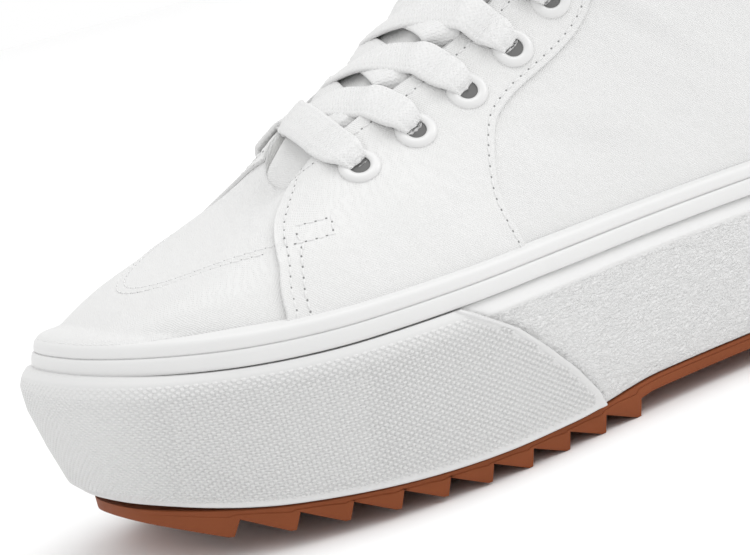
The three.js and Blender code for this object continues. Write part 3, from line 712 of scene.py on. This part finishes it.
def side_panel(side, name):
    """The eyestay and front quarter, one layer of canvas over the vamp and the rear quarter."""
    front, throat, rear = panel_edges(side)
    low, high = PANEL_ROWS
    left = np.concatenate([even(front, low), even(throat, high)[:, 1:]], axis=1)
    cut = int(REAR_CUT * rear.shape[1])
    right = np.concatenate([even(rear[:, :cut + 1], low), even(rear[:, cut:], high)[:, 1:]], axis=1)
    width = np.linalg.norm(face(*left) - face(*right), axis=1)
    edges, inner = np.array([0, 0.12, 0.3, 0.55, 0.9, 1.4]), np.linspace(0, 1, 44)[1:-1]
    share = np.stack([
        np.concatenate([edges * k / w, inner * (1 - 3.6 * k / w) + 1.8 * k / w, 1 - edges[::-1] * k / w])
        for w, k in zip(width, np.minimum(1.0, width / 5.0))
    ])
    u, v = (a[:, None] + (b - a)[:, None] * share for a, b in zip(left, right))
    spots = face(u, v)
    from_end = run_along(spots)
    from_front, from_rear = share * width[:, None], (1 - share) * width[:, None]
    near = np.minimum(np.minimum(from_front, from_rear), from_end[-1] - from_end)
    gape = 0.75 * bell((spots[..., 1] - 54) / 12.0) * np.exp(-from_front / 0.9)
    lift = -0.12 + (PANEL_THICK + 0.12 + gape) * rounded(near, 0.55)
    pile = Pile()
    pile.grid(skin(u, v, lift), flip=side > 0)
    piece = make_piece(name, pile, [canvas_panel])
    solid = piece.modifiers.new("thickness", "SOLIDIFY")  # down into the layer it is sewn to
    solid.thickness = 0.0003
    solid.offset = -1.0
    return front, throat, rear


def capsule(rings=5, sides=8):
    """A stitch lying along X: unit length and radius."""
    angles = 2 * np.pi * full_turn(sides)
    points = [
        (-np.cos(t), np.sin(t) ** 0.55 * np.cos(a), np.sin(t) ** 0.55 * np.sin(a))
        for t in np.linspace(0, np.pi, rings + 2)[1:-1] for a in angles
    ]
    last, faces = (rings - 1) * sides, []
    for j in range(sides):
        k = (j + 1) % sides
        faces += [(i + j, i + sides + j, i + sides + k, i + k) for i in range(0, last, sides)]
        faces += [(last + sides, j, k), (last + sides + 1, last + k, last + j)]
    return np.array([*points, (-1, 0, 0), (1, 0, 0)]), faces


CAPSULE = capsule()


def sew(piles, u, v, lift, pitch=STITCH["pitch"], start=0.8, hole_size=1.0):
    """Stitches along a curve on the skin, each with a small dark mark, painted shade, for the needle hole it
    comes out of.
    """
    u, v = resample(u, v, pitch, start)
    if len(u) < 2:
        return
    spot, normal = skin(u, v, lift), face_normal(u, v)
    along = unit(np.gradient(spot, axis=0))
    (threads, holes), (points, faces) = piles, CAPSULE
    x, y, z = points[:, 0:1], points[:, 1:2], points[:, 2:3]
    for p, n, t, c in zip(spot, normal, along, np.cross(normal, along)):
        bent = p + n * (0.06 - STITCH["sag"] * x ** 2) + t * x * STITCH["length"] / 2
        threads.add(bent + c * y * STITCH["radius"] + n * z * STITCH["height"], faces)
        round_hole = t * x * NEEDLE_HOLE[0] + c * y * NEEDLE_HOLE[1]
        holes.add(p + t * (pitch / 2) + round_hole * hole_size + n * z * NEEDLE_HOLE[2], faces)


def part_of(curve, start, end):
    """The stretch of a curve between two shares of its length."""
    full = even(curve, 400)
    return full[:, int(400 * start):int(400 * end)]


def sew_everything():
    piles = Pile(), Pile()
    top = PANEL_THICK
    for side, name in SIDE_NAMES.items():
        front, throat, rear = side_panel(side, f"panel_{name}")
        sew(piles, *beside(*even(front, 200)[:, 14:], side * 2.6), top)
        sew(piles, *beside(*even(throat, 300), side * 1.9), top)
        sew(piles, *beside(*part_of(front, 0.06, 0.52), side * 5.6), top)
        sew(piles, *beside(*part_of(rear, 0.02, 0.995), -side * 1.9), top)
        box = mirrored(side, np.array(TACK_BOX))
        for first in range(3):
            sew(piles, *box[:, first:first + 2], top, 2.6, 0.4)
        sew(piles, *collar_row(side, 4.6), 0.5)
        sew(piles, np.full(60, side * BACK_SEAM_U), np.linspace(0.08, 0.955, 60), 0.05)
    for first, bend in CAP_ROWS:
        x = np.linspace(-31.0, 29.5, 90)
        x = x[np.abs(x) > 0.2]
        rows = np.stack([x, first + bend * x ** 2], axis=1)
        sew(piles, *from_above(rows), 0.0, 2.6, hole_size=0.6)
    make_piece("stitching", piles[0], [thread])
    # These dark marks are painted shade for the needle holes.
    make_piece("needle_holes", piles[1], [needle_hole_shade])


def collar_row(side, below):
    """A row of stitches under the collar, from the panel to the back seam."""
    u, v = side * np.linspace(9.45 / 26, 0.494, 160), np.full(160, 0.9)
    for _ in range(12):
        gap = np.linalg.norm(face(u, 1.0) - face(u, v), axis=1)
        v = v - (below - gap) * 0.004
    return u, np.clip(v, 0, 1)


sew_everything()

# ---- eyelets

# One of these sizes is the radius of the dark disc painted as shade across each hole.
EYELET = {"outer": 5.3, "bead": 1.45, "hole": 2.75, "shade_disc": 2.95, "barrel": 3.4, "seat": 14.0}
EYELET_COUNT, FIRST_RIB, LAST_RIB = 8, 3.86, 8.93


def seats(side):
    """u, v of one eyelet row, evenly spaced along a line below the edge of the throat."""
    u = side * np.linspace(FIRST_RIB, LAST_RIB, 121) / RIB_COUNT
    top = face(u, 1.0)
    v = bisect(lambda v: np.linalg.norm(face(u, v) - top, axis=1) > EYELET["seat"], 0 * u + 0.3, 0 * u + 1)
    return even(np.stack([u, v]), EYELET_COUNT)


SEATS = {1: seats(1), -1: seats(-1)}


def seat(side, index):
    u, v = (float(row[index]) for row in SEATS[side])
    return face(u, v), face_normal(u, v), relief(u, v)


def eyelet_ring(side, index):
    spot, normal, ripple = seat(side, index)
    base, under = ripple + PANEL_THICK, -wall_thickness(spot[2])
    hole, barrel, bead = EYELET["hole"], EYELET["barrel"], EYELET["bead"]
    profile = [
        (EYELET["outer"] - bead + bead * math.cos(a), base + 0.12 + 0.95 * math.sin(a))
        for a in np.linspace(-0.35, math.pi - 0.5, 15)
    ]
    profile += [
        (hole + 0.15, base + 0.22), (hole, base - 0.6), (hole, under + 0.2), (hole + 0.2, under - 0.45),
        (barrel + 0.9, under - 0.55), (barrel + 1.2, under - 0.1), (barrel - 0.1, under + 0.1),
        (barrel - 0.1, base - 0.2),
    ]
    first = unit(np.cross(normal, [0.0, 0.0, 1.0]))
    angles = 2 * np.pi * full_turn(48)[:, None]
    spokes = first * np.cos(angles) + np.cross(normal, first) * np.sin(angles)
    pile = Pile()
    pile.grid(np.stack([spot + normal * h + r * spokes for r, h in profile], axis=1), closed=(True, True))
    # The disc across the hole is painted shade: a dark sheet where the hole's depth lies in shadow.
    pile.fan(spot + normal * (base + 0.34) + EYELET["shade_disc"] * spokes, spot + normal * (base + 0.28), slot=1)
    name = f"{SIDE_NAMES[side]}_{index + 1}"
    make_piece(f"ring_{name}", pile, [enamel, painted_hole_shade], [f"eyelet_{name}"])


for side in (1, -1):
    for index in range(EYELET_COUNT):
        eyelet_ring(side, index)

# ---- tongue

# Rows of the tongue: s, z, half width, crown, thickness.
TONGUE_ROWS = [
    (58, 65.6, 16, 3, 2), (70, 71.9, 19, 4, 2.4), (79, 82.4, 22, 5, 2.8), (89.5, 91.0, 24, 8, 3.2),
    (106, 99.4, 25, 11.8, 3.8), (126, 110.6, 25, 16.5, 4.4), (144, 121.4, 24, 17, 4.6),
    (157.5, 141.2, 20, 12, 4.8), (170, 167, 18, 8, 5.5), (177, 184, 22, 8, 5),
]


def tongue_face(place, across):
    """A point of the tongue's face and its outward direction: place 0..1 up, across -1..1."""
    rows = spline(TONGUE_ROWS, 901)
    along = unit(np.stack([0 * rows[:, 0], np.gradient(rows[:, 0]), np.gradient(rows[:, 1])], axis=1))
    index = np.clip(np.round(np.asarray(place) * 900).astype(int), 0, 900)
    s, z, half, crown, _ = (rows[index][..., k] for k in range(5))
    drop = crown * np.abs(across) ** 3
    t = along[index]
    spot = np.stack([half * across, s + t[..., 2] * drop, z - t[..., 1] * drop], axis=-1)
    slope = 3 * crown * across * np.abs(across)
    side = np.stack([half, t[..., 2] * slope, -t[..., 1] * slope], axis=-1)
    return spot, unit(np.cross(side, t)), rows[index][..., 4]


def tongue():
    place = np.linspace(0, 1, 150)
    around = np.concatenate([np.linspace(-1, 1, 37), np.linspace(1, -1, 37)[1:-1]])
    under = np.concatenate([np.zeros(37), np.ones(35)])
    p, a = np.meshgrid(place, around, indexing="ij")
    tip = np.clip((p - 0.94) / 0.06, 0, 1)
    spot, normal, thick = tongue_face(p, a * 0.985 * np.sqrt(1 - 0.8 * tip ** 3))
    edge = dome(a ** 3)
    top_end = dome(np.clip((p - 0.975) / 0.025, 0, 1))
    body = thick * (1 - 0.45 * a ** 4) * (0.12 + 0.88 * edge * (0.15 + 0.85 * top_end))
    seam = bell((np.abs(a) - 0.84) / 0.035) + bell((p - 0.945) / 0.006) * (np.abs(a) < 0.84)
    depth = thick * 0.5 * (1 - 0.45 * a ** 4)
    up = 1 - 2 * under
    middle = spot - normal * depth[..., None]
    puff = 1.3 * bell((spot[..., 0] + 10.5) / 4.2) * (1 - under)  # up between the runs of lace
    puff = puff * smooth((p - 0.12) / 0.08) * smooth((0.72 - p) / 0.08)
    points = middle + normal * (up * body * 0.5 - up * 0.45 * seam + puff)[..., None]
    pile = Pile()
    pile.tube(points)
    piece = make_piece("tongue_pad", pile, [canvas], ["tongue"], weld=0.01)


tongue()

# ---- lace

LACE = {"width": 10.4, "thick": 1.7, "lift": 0.35, "over_edge": 0.5}
# A run's last stations: distance from the eyelet's middle, height, width, thickness.
LACE_END = (
    (6.0, 2.9, 9.6, 2.0), (4.2, 3.2, 8.6, 2.2), (2.4, 2.3, 7.0, 2.5), (0.9, 0.4, 5.4, 2.6),
    (0.4, -2.6, 4.4, 2.2),
)
BRAID = {"column": 1.5, "pitch": 1.9, "slant": 0.9, "rib": 0.16, "yarn": 0.13}
EDGE_SHIFT = {1: 6.8, -1: 1.5}  # how far toeward of its eyelet a run crosses the edge of the throat
BAR_SET_BACK = 2.5


def tongue_rise(point, normal):
    """How far the tongue's face stands above a point of the throat, along its normal."""
    rows = np.array(TONGUE_ROWS, float)
    for low, high in zip(rows[:-1], rows[1:]):
        run_s, run_z = high[0] - low[0], high[1] - low[1]
        away_s, away_z = low[0] - point[1], low[1] - point[2]
        cross = normal[1] * run_z - normal[2] * run_s
        part = (away_s * normal[2] - away_z * normal[1]) / cross
        if 0 <= part <= 1:
            rise = (away_s * run_z - away_z * run_s) / cross
            half, crown = (low[k] + (high[k] - low[k]) * part for k in (2, 3))
            return rise - crown * abs(point[0] / half) ** 3
    return 0.0


def over_throat(lower, higher, parts):
    """Stations over the tongue: shares of the way across, and how much higher each."""
    (p0, n0), (p1, n1) = lower, higher
    stations = []
    for part, extra in parts:
        normal, chord = unit(n0 + (n1 - n0) * part), p0 + (p1 - p0) * part
        rise = max(tongue_rise(chord, normal), LACE["over_edge"]) + LACE["lift"] + LACE["thick"] / 2 + extra
        stations.append((chord + normal * rise, normal, LACE["width"], LACE["thick"]))
    return stations


def throat_edge(side, index, toeward=0.0):
    """The edge of the throat beside an eyelet, or so many millimetres nearer the toe."""
    u = float(SEATS[side][0][index])
    speed = np.linalg.norm(face(u + 1e-3, 1.0) - face(u - 1e-3, 1.0)) / 2e-3
    u -= side * toeward / speed
    return face(u, 1.0), face_normal(u, 0.98)


def to_eyelet(side, index, toeward):
    """From the edge over the flange and down the hole: point, normal, width, thickness."""
    (edge, edge_n), (spot, spot_n, _) = throat_edge(side, index, toeward), seat(side, index)
    inward, reach = unit(edge - spot), np.linalg.norm(edge - spot)
    ends = []
    for away, lift, width, thick in ((reach * 0.66, 2.2, 10.2, 1.8), *LACE_END):
        normal = unit(spot_n + (edge_n - spot_n) * away / reach)
        flat = min(1.0, max(0.15, (lift + 1.2) / 3.2))
        tilt = unit(normal * flat + inward * (1.0 - flat))
        ends.append((spot + inward * away + normal * lift, tilt, width, thick))
    return ends


def from_beneath(side, index):
    """From the eyelet's inner end, under the canvas, to the edge of the throat."""
    (edge, edge_n), (spot, spot_n, _) = throat_edge(side, index), seat(side, index)
    inward, wall = unit(edge - spot), wall_thickness(spot[2])
    return [
        (spot + inward * 1.2 - spot_n * (wall + 0.4), spot_n, 4.6, 2.2),
        (spot + inward * 5.5 - spot_n * (wall + 1.6), spot_n, 7.5, 1.6),
        (edge - edge_n * (wall + 0.9) + inward * 0.2, edge_n, 8.6, 1.6),
    ]


def braid(run, across, wide):
    """Relief of the lace's face: columns of slanted yarns, in millimetres."""
    column = across * wide / BRAID["column"]
    ribs = np.abs(np.cos(np.pi * column))
    side = np.where(np.floor(column + 0.5) % 2 == 0, 1.0, -1.0)
    slant = side * (column - np.round(column)) * BRAID["slant"]
    return ribs * (BRAID["rib"] + BRAID["yarn"] * np.cos(2 * np.pi * (run / BRAID["pitch"] + slant)))


def strip(pile, stations, steps=150, sides=44):
    """One run of lace: a rounded flat tube through its stations, gathered where it narrows."""
    values = np.array([np.concatenate([p, n, [w, t]]) for p, n, w, t in stations])
    path = spline(values, 60 * (len(values) - 1) + 1)
    run = run_along(path[:, :3])
    length = np.linspace(0, run[-1], steps)
    path = np.stack([np.interp(length, run, column) for column in path.T], axis=1)
    spot, normal, wide, thick = path[:, :3], unit(path[:, 3:6]), path[:, 6:7], path[:, 7:8]
    along = unit(np.gradient(spot, axis=0))
    across = unit(np.cross(normal, along))
    up = np.cross(along, across)
    angle = 2 * np.pi * full_turn(sides)
    cos, sin = np.cos(angle), np.sin(angle)
    flat = np.sign(cos) * np.abs(cos) ** 0.75
    tall = np.sign(sin) * np.abs(sin) ** 0.62
    gather = np.clip((8.6 - wide) / 4.0, 0, 1)
    fold = 0.42 * gather * np.cos(flat * 2.1 * np.pi) * (tall > 0)
    across_mm = flat * wide / 2
    up_mm = tall * thick / 2 + braid(length[:, None], flat[None] * 0.5, wide) * tall + fold
    pile.tube(spot[:, None] + across[:, None] * across_mm[..., None] + up[:, None] * up_mm[..., None])


def crossing(side, row, lift):
    """Out from under one edge, over the tongue and the far edge, to the next eyelet up."""
    toeward = EDGE_SHIFT[-side]
    over = ((0.13, -0.3), (0.34, -0.3 + 0.6 * lift), (0.58, -0.3 + lift), (0.82, 0.1), (0.96, 0.0))
    return [
        *from_beneath(side, row),
        *over_throat(throat_edge(side, row), throat_edge(-side, row + 1, toeward), over),
        *to_eyelet(-side, row + 1, toeward),
    ]


def bar():
    """The first run, across on the outside, its medial end set back."""
    over = ((0.03, 0.0), (0.2, 1.3), (0.5, 2.2), (0.8, 1.2), (0.97, 0.1))
    return [
        *to_eyelet(-1, 0, -BAR_SET_BACK)[::-1],
        *over_throat(throat_edge(-1, 0, -BAR_SET_BACK), throat_edge(1, 0, EDGE_SHIFT[1]), over),
        *to_eyelet(1, 0, EDGE_SHIFT[1]),
    ]


def lace():
    pile = Pile()
    strip(pile, bar())
    for row in range(EYELET_COUNT - 1):
        strip(pile, crossing(1, row, 0.0))
        strip(pile, crossing(-1, row, 1.5))
    make_piece("lacing", pile, [lace_yarn], ["lace"], weld=0.005)


lace()

# ---- sole

def wall_inset(level, s):
    return by_zone((np.interp(level, WALL_LEVEL, WALL_SIDE), np.interp(level, WALL_LEVEL, WALL_TOE)), s)


def sole_wall(u, level, offset):
    """A point of the sole's wall, moved out by `offset`."""
    s = station(u)
    spot = outline(u, wall_inset(level, s) - offset)
    spot[..., 2] = white_z(s) + (rim_z(s) - white_z(s)) * level
    return spot


PLATFORM_SECTION = [  # level up the wall, and how far out of the plain wall there
    (0.0, 0.0), (0.006, 0.35), (0.02, 0.5), (0.15, 0.55), (0.4, 0.5), (0.6, 0.45), (0.75, 0.35), (0.84, 0.10),
    (0.872, 0.0), (0.888, 0.18), (0.900, 0.62), (0.910, 0.80), (0.922, 0.72), (0.95, 0.42), (0.98, 0.38),
    (1.0, 0.10),
]
BUMPER_EDGE = [  # the bumper's rear edge in side view: height, station
    (-5, 126), (6, 125.5), (11.5, 123.5), (19, 118), (27, 110.5), (34.5, 102.5), (39.6, 94.5), (43.8, 88),
    (60, 84),
]


def bumper_end(z):
    return np.interp(z, *zip(*BUMPER_EDGE))


def platform():
    section = np.array(PLATFORM_SECTION)
    levels = np.unique(np.concatenate([section[:, 0], np.linspace(0.02, 0.86, 22)]))
    extra = np.interp(levels, section[:, 0], section[:, 1])
    u, level = np.meshgrid(full_turn(420), levels, indexing="ij")
    behind = smooth((station(u) - 80) / 4)
    spot = sole_wall(u, level, -1.9)
    hidden = spot[..., 1] < bumper_end(spot[..., 2]) - 1.0
    push = np.where(hidden, -1.1, extra[None] * behind)
    pile = Pile()
    pile.barrel(spot + outward(OUTLINE, u) * push[..., None])
    make_piece("platform_block", pile, [platform_rubber], ["platform"])


platform()


def bumper_ends(levels):
    """u where the bumper stops on each side, at each level."""
    fine = np.linspace(0.12, 0.30, 1200)

    def end(side, level):
        spot = sole_wall(side * fine, np.full(1200, level), 0.0)
        return side * np.interp(0.0, spot[:, 1] - bumper_end(spot[:, 2]), fine)

    return [np.array([end(side, level) for level in levels]) for side in (1, -1)]


STUD = {"along": 2.2, "rows": 25, "height": 0.58, "root": -0.05}


def bumper():
    levels = np.concatenate([[0.0, 0.006, 0.016], np.linspace(0.03, 0.86, 34), np.linspace(0.88, 1.0, 12)])
    lateral, medial = bumper_ends(levels)
    share = np.linspace(0, 1, 261)
    share = share + 0.035 * np.sin(2 * np.pi * (share - 0.5))
    u = medial[None] + (lateral - medial)[None] * share[:, None]
    level = np.broadcast_to(levels[None], u.shape)
    spot = sole_wall(u, level, 0.0)
    start = run_along(spot)
    near = np.minimum(start, start[-1] - start)
    lip = 0.62 * dome((near - 1.3) / 1.3) * (near < 2.6)
    drop = -1.2 * (1 - np.clip(near / 0.5, 0, 1)) ** 2
    low_lip = 0.30 * bell((level - 0.018) / 0.018)
    round_low = -0.6 * np.clip(1 - level / 0.012, 0, 1) ** 2
    outer = spot + outward(OUTLINE, u) * (lip + drop + low_lip + round_low)[..., None]
    section = np.concatenate([outer, sole_wall(u, level, -2.3)[:, ::-1]], axis=1)
    pile = Pile()
    pile.grid(section, closed=(False, True))
    m = section.shape[1]
    for ring, turn in ((section[0], 1), (section[-1], -1)):
        pile.add(ring, [(j, j + 1, m - 2 - j, m - 1 - j)[::turn] for j in range(m // 2 - 1)])
    studs(pile)
    make_piece("bumper_wrap", pile, [bumper_rubber], ["toe_bumper"], sharp=26)


def studs(pile):
    """The staggered rows of small raised diamonds, each a grid of three by three faces."""
    fine = np.linspace(-0.30, 0.30, 3000)
    run = run_along(sole_wall(fine, np.full(3000, 0.6), 0.0))
    run = run - run[1500]
    pitch = 1.0 / STUD["rows"]
    a, b = (g.ravel() for g in np.meshgrid(np.arange(4) / 3, np.arange(4) / 3))
    raised = (a > 0) & (a < 1) & (b > 0) & (b < 1)
    quads = np.array([(k, k + 1, k + 5, k + 4) for k in (0, 1, 2, 4, 5, 6, 8, 9, 10)])
    centres = np.array([
        ((step + half_row % 2 / 2) * STUD["along"], (half_row + 1.6) * pitch / 2)
        for half_row in range(2 * STUD["rows"] - 2) for step in range(-90, 91)
    ])
    centre_u = np.interp(centres[:, 0], run, fine)
    spot = sole_wall(centre_u, centres[:, 1], 0.0)
    keep = (spot[:, 1] < bumper_end(spot[:, 2]) - 2.9) & (np.abs(centre_u) < 0.29)
    keep = keep & (centres[:, 1] > 0.045) & (centres[:, 1] < 0.95)
    (place, level), spot = centres[keep].T, spot[keep]
    fade = 0.55 + 0.45 * smooth((spot[:, 1] - 2) / 22)
    fade = fade * (0.55 + 0.45 * smooth((0.97 - level) / 0.18)) * (0.6 + 0.4 * smooth(level / 0.12))
    u = np.interp(place[:, None] + (a + b - 1) * STUD["along"] / 2, run, fine)
    height = STUD["root"] + (STUD["height"] * fade[:, None] - STUD["root"]) * raised
    points = sole_wall(u, level[:, None] + (b - a) * pitch / 2, 0.0) + outward(OUTLINE, u) * height[..., None]
    faces = (quads + len(a) * np.arange(len(points))[:, None, None]).reshape(-1, 4)
    pile.add(points, faces)


bumper()

FOXING_SECTION = [  # inset from the strip's own face, height above the platform
    (1.2, 0.12), (0.35, 0.10), (0.06, 0.35), (-0.10, 1.2), (-0.14, 2.2), (-0.06, 3.3), (0.10, 3.95),
    (0.34, 4.15), (0.80, 4.22), (0.78, 4.34), (0.50, 4.48), (0.44, 4.9), (0.46, 5.8), (0.60, 6.7),
    (0.95, 7.35), (1.45, 7.75),
]


def foxing():
    rounds = full_turn(ROUNDS)
    high = behind_foxing(rounds)
    lap = 0.22 * smooth((station(rounds) - 116.0) / 1.2) * (rounds < 0.5)
    sections = [
        foxing_point(rounds, inset - lap * (height < 4.2), height) for inset, height in FOXING_SECTION
    ]
    at_side = (face(rounds, high) + face_normal(rounds, high) * 0.12,
               face(rounds, high * 0.9) - face_normal(rounds, high * 0.9) * 0.3)
    for beside, ahead in zip(at_side, ((1.5, 7.55), (1.0, 7.0))):
        sections.append(beside + (foxing_point(rounds, *ahead) - beside) * at_toe(rounds)[:, None])
    under = face(rounds, 0 * rounds) + face_normal(rounds, 0 * rounds) * 0.3
    under[:, 2] = foot_z(under[:, 1]) + 0.12
    sections.append(under)
    pile = Pile()
    pile.grid(np.stack(sections, axis=1), closed=(True, True))
    make_piece("foxing_strip", pile, [foxing_rubber], ["foxing"], sharp=60)


foxing()

FOOTBED_SECTION = [  # share of the way in from the rim, height above the platform
    (0.0, 0.2), (0.0, 3.2), (0.02, 3.8), (0.05, 4.0), (0.12, 3.8), (0.25, 3.3), (0.45, 2.9), (0.7, 2.7),
    (0.97, 2.7),
]


def insole():
    rounds = full_turn(160)
    s = station(rounds)
    rim = outline(rounds, by_zone(FOOT_INSET, s) + CANVAS_WALL + by_zone((1.7, 3.1), s))
    spine = np.stack([0.12 * rim[:, 0], np.clip(rim[:, 1], 36, 252), 0 * s], axis=1)
    rings = []
    for share, height in FOOTBED_SECTION:
        spot = rim + (spine - rim) * share
        spot[:, 2] = foot_z(spot[:, 1]) + height
        rings.append(spot)
    pile = Pile()
    pile.barrel(np.stack(rings, axis=1))
    make_piece("footbed", pile, [lining], ["insole"])


insole()

# ---- gum outsole

TOOTH = {"pitch": 12.45, "depth": 4.4, "lean": 18, "land": 1.1, "crowding": 0.035}
TOOTH_RUNS = [(135.7, 10), (266, 5)]  # station of the last tooth and how many
PLAIN_HEIGHT, PLAIN_MARGIN = 4.8, 4.5


def tooth_line():
    """The gum's underside in side view, front to back, as (s, z) corners."""
    def run(last, count):
        for step in range(count - 1, -1, -1):
            s = last - TOOTH["pitch"] * step + TOOTH["crowding"] * step ** 2
            steep = math.radians(TOOTH["lean"]) + math.atan(float(tread_z(s) - tread_z(s + 1)))
            tip = float(tread_z(s))
            yield s - TOOTH["land"], float(tread_z(s - TOOTH["land"]))
            yield s, tip
            yield s + TOOTH["depth"] * math.sin(steep), tip + TOOTH["depth"] * math.cos(steep)

    front = [(-12, float(white_z(0.0)) - 1.6), (4, float(white_z(4.0)) - 1.6)]
    arch = [(WAIST_FRONT - PLAIN_MARGIN, PLAIN_HEIGHT), (WAIST_TO - PLAIN_MARGIN, PLAIN_HEIGHT)]
    heel = [(s, 2.5 * float(smooth((s - 270) / 14))) for s in np.linspace(270, 296, 5)]
    return [*front, *run(*TOOTH_RUNS[0]), *arch, *run(*TOOTH_RUNS[1]), *heel]


def outsole():
    line = tooth_line()
    stations = []
    for (s0, z0), (s1, z1) in zip(line[:-1], line[1:]):
        for t in np.linspace(0, 1, max(2, int((s1 - s0) / 1.6)), endpoint=False):
            stations.append((s0 + (s1 - s0) * t, z0 + (z1 - z0) * t))
    floor_s, floor_z = np.array([*stations, line[-1]]).T
    edges = []
    for side in (1, -1):
        u = side * np.linspace(0, 0.5, 1500)
        edges.append(outline(u, wall_inset(np.full(1500, -0.06), station(u)) + 1.5))
    front = max(edge[:, 1].min() for edge in edges) + 0.05
    back = min(edge[:, 1].max() for edge in edges) - 0.05
    ends = 14 * np.linspace(0, 1, 16) ** 2
    inside = floor_s[(floor_s > front) & (floor_s < back)]
    rows = []
    for s in np.unique(np.concatenate([inside, front + ends, back - ends])):
        z, top = float(np.interp(s, floor_s, floor_z)), float(white_z(s)) - GAP
        right, left = (float(np.interp(s, edge[:, 1], edge[:, 0])) for edge in edges)
        r = min(0.45, (right - left) / 4)
        groove = min(z + 0.75 * (top - z), top - 1.15)
        flank = (
            (0.5, top), (0.0, top - 0.25), (0.0, groove + 0.22), (0.22, groove), (0.0, groove - 0.22),
            (0.0, z + r), (r * 0.3, z + r * 0.3), (r, z),
        )
        down = [(right - inset, s, height) for inset, height in flank]
        up = [(left + inset, s, height) for inset, height in flank[::-1]]
        rows.append([*down, ((right + left) / 2, s, z), *up])
    pile = Pile()
    pile.tube(np.array(rows), flip=True)
    make_piece("gum_tread", pile, [gum_rubber], ["outsole"], sharp=28)


outsole()

# ---- floor and light

LAMPS = [  # name, place, size, power
    ("overhead", (0.2, 0.5, 3.0), 2.2, 24.0),
    ("key", (0.9, 1.3, 1.5), 0.9, 7.0),
]
LAMP_TARGET = (0, -0.05, 0.06)


def studio():
    scene = bpy.context.scene
    bpy.ops.mesh.primitive_plane_add(size=8.0, location=(0, 0, 0))
    floor = bpy.context.object
    floor.name = "floor"
    floor.data.materials.append(rubber("pale_floor", (0.95, 0.95, 0.95), 0.8, 2.0, 0.02, shade=0.995))
    scene.world = bpy.data.worlds.new("studio")
    scene.world.use_nodes = True
    background = scene.world.node_tree.nodes["Background"].inputs
    background["Color"].default_value = (1, 1, 1, 1)
    background["Strength"].default_value = 1.0
    for name, place, size, power in LAMPS:
        data = bpy.data.lights.new(name, "AREA")
        data.shape = "SQUARE"
        data.size = size
        data.energy = power
        lamp = bpy.data.objects.new(name, data)
        lamp.location = place
        lamp.rotation_euler = (Vector(LAMP_TARGET) - Vector(place)).to_track_quat("-Z", "Y").to_euler()
        scene.collection.objects.link(lamp)
    scene.view_settings.view_transform = "Standard"


studio()
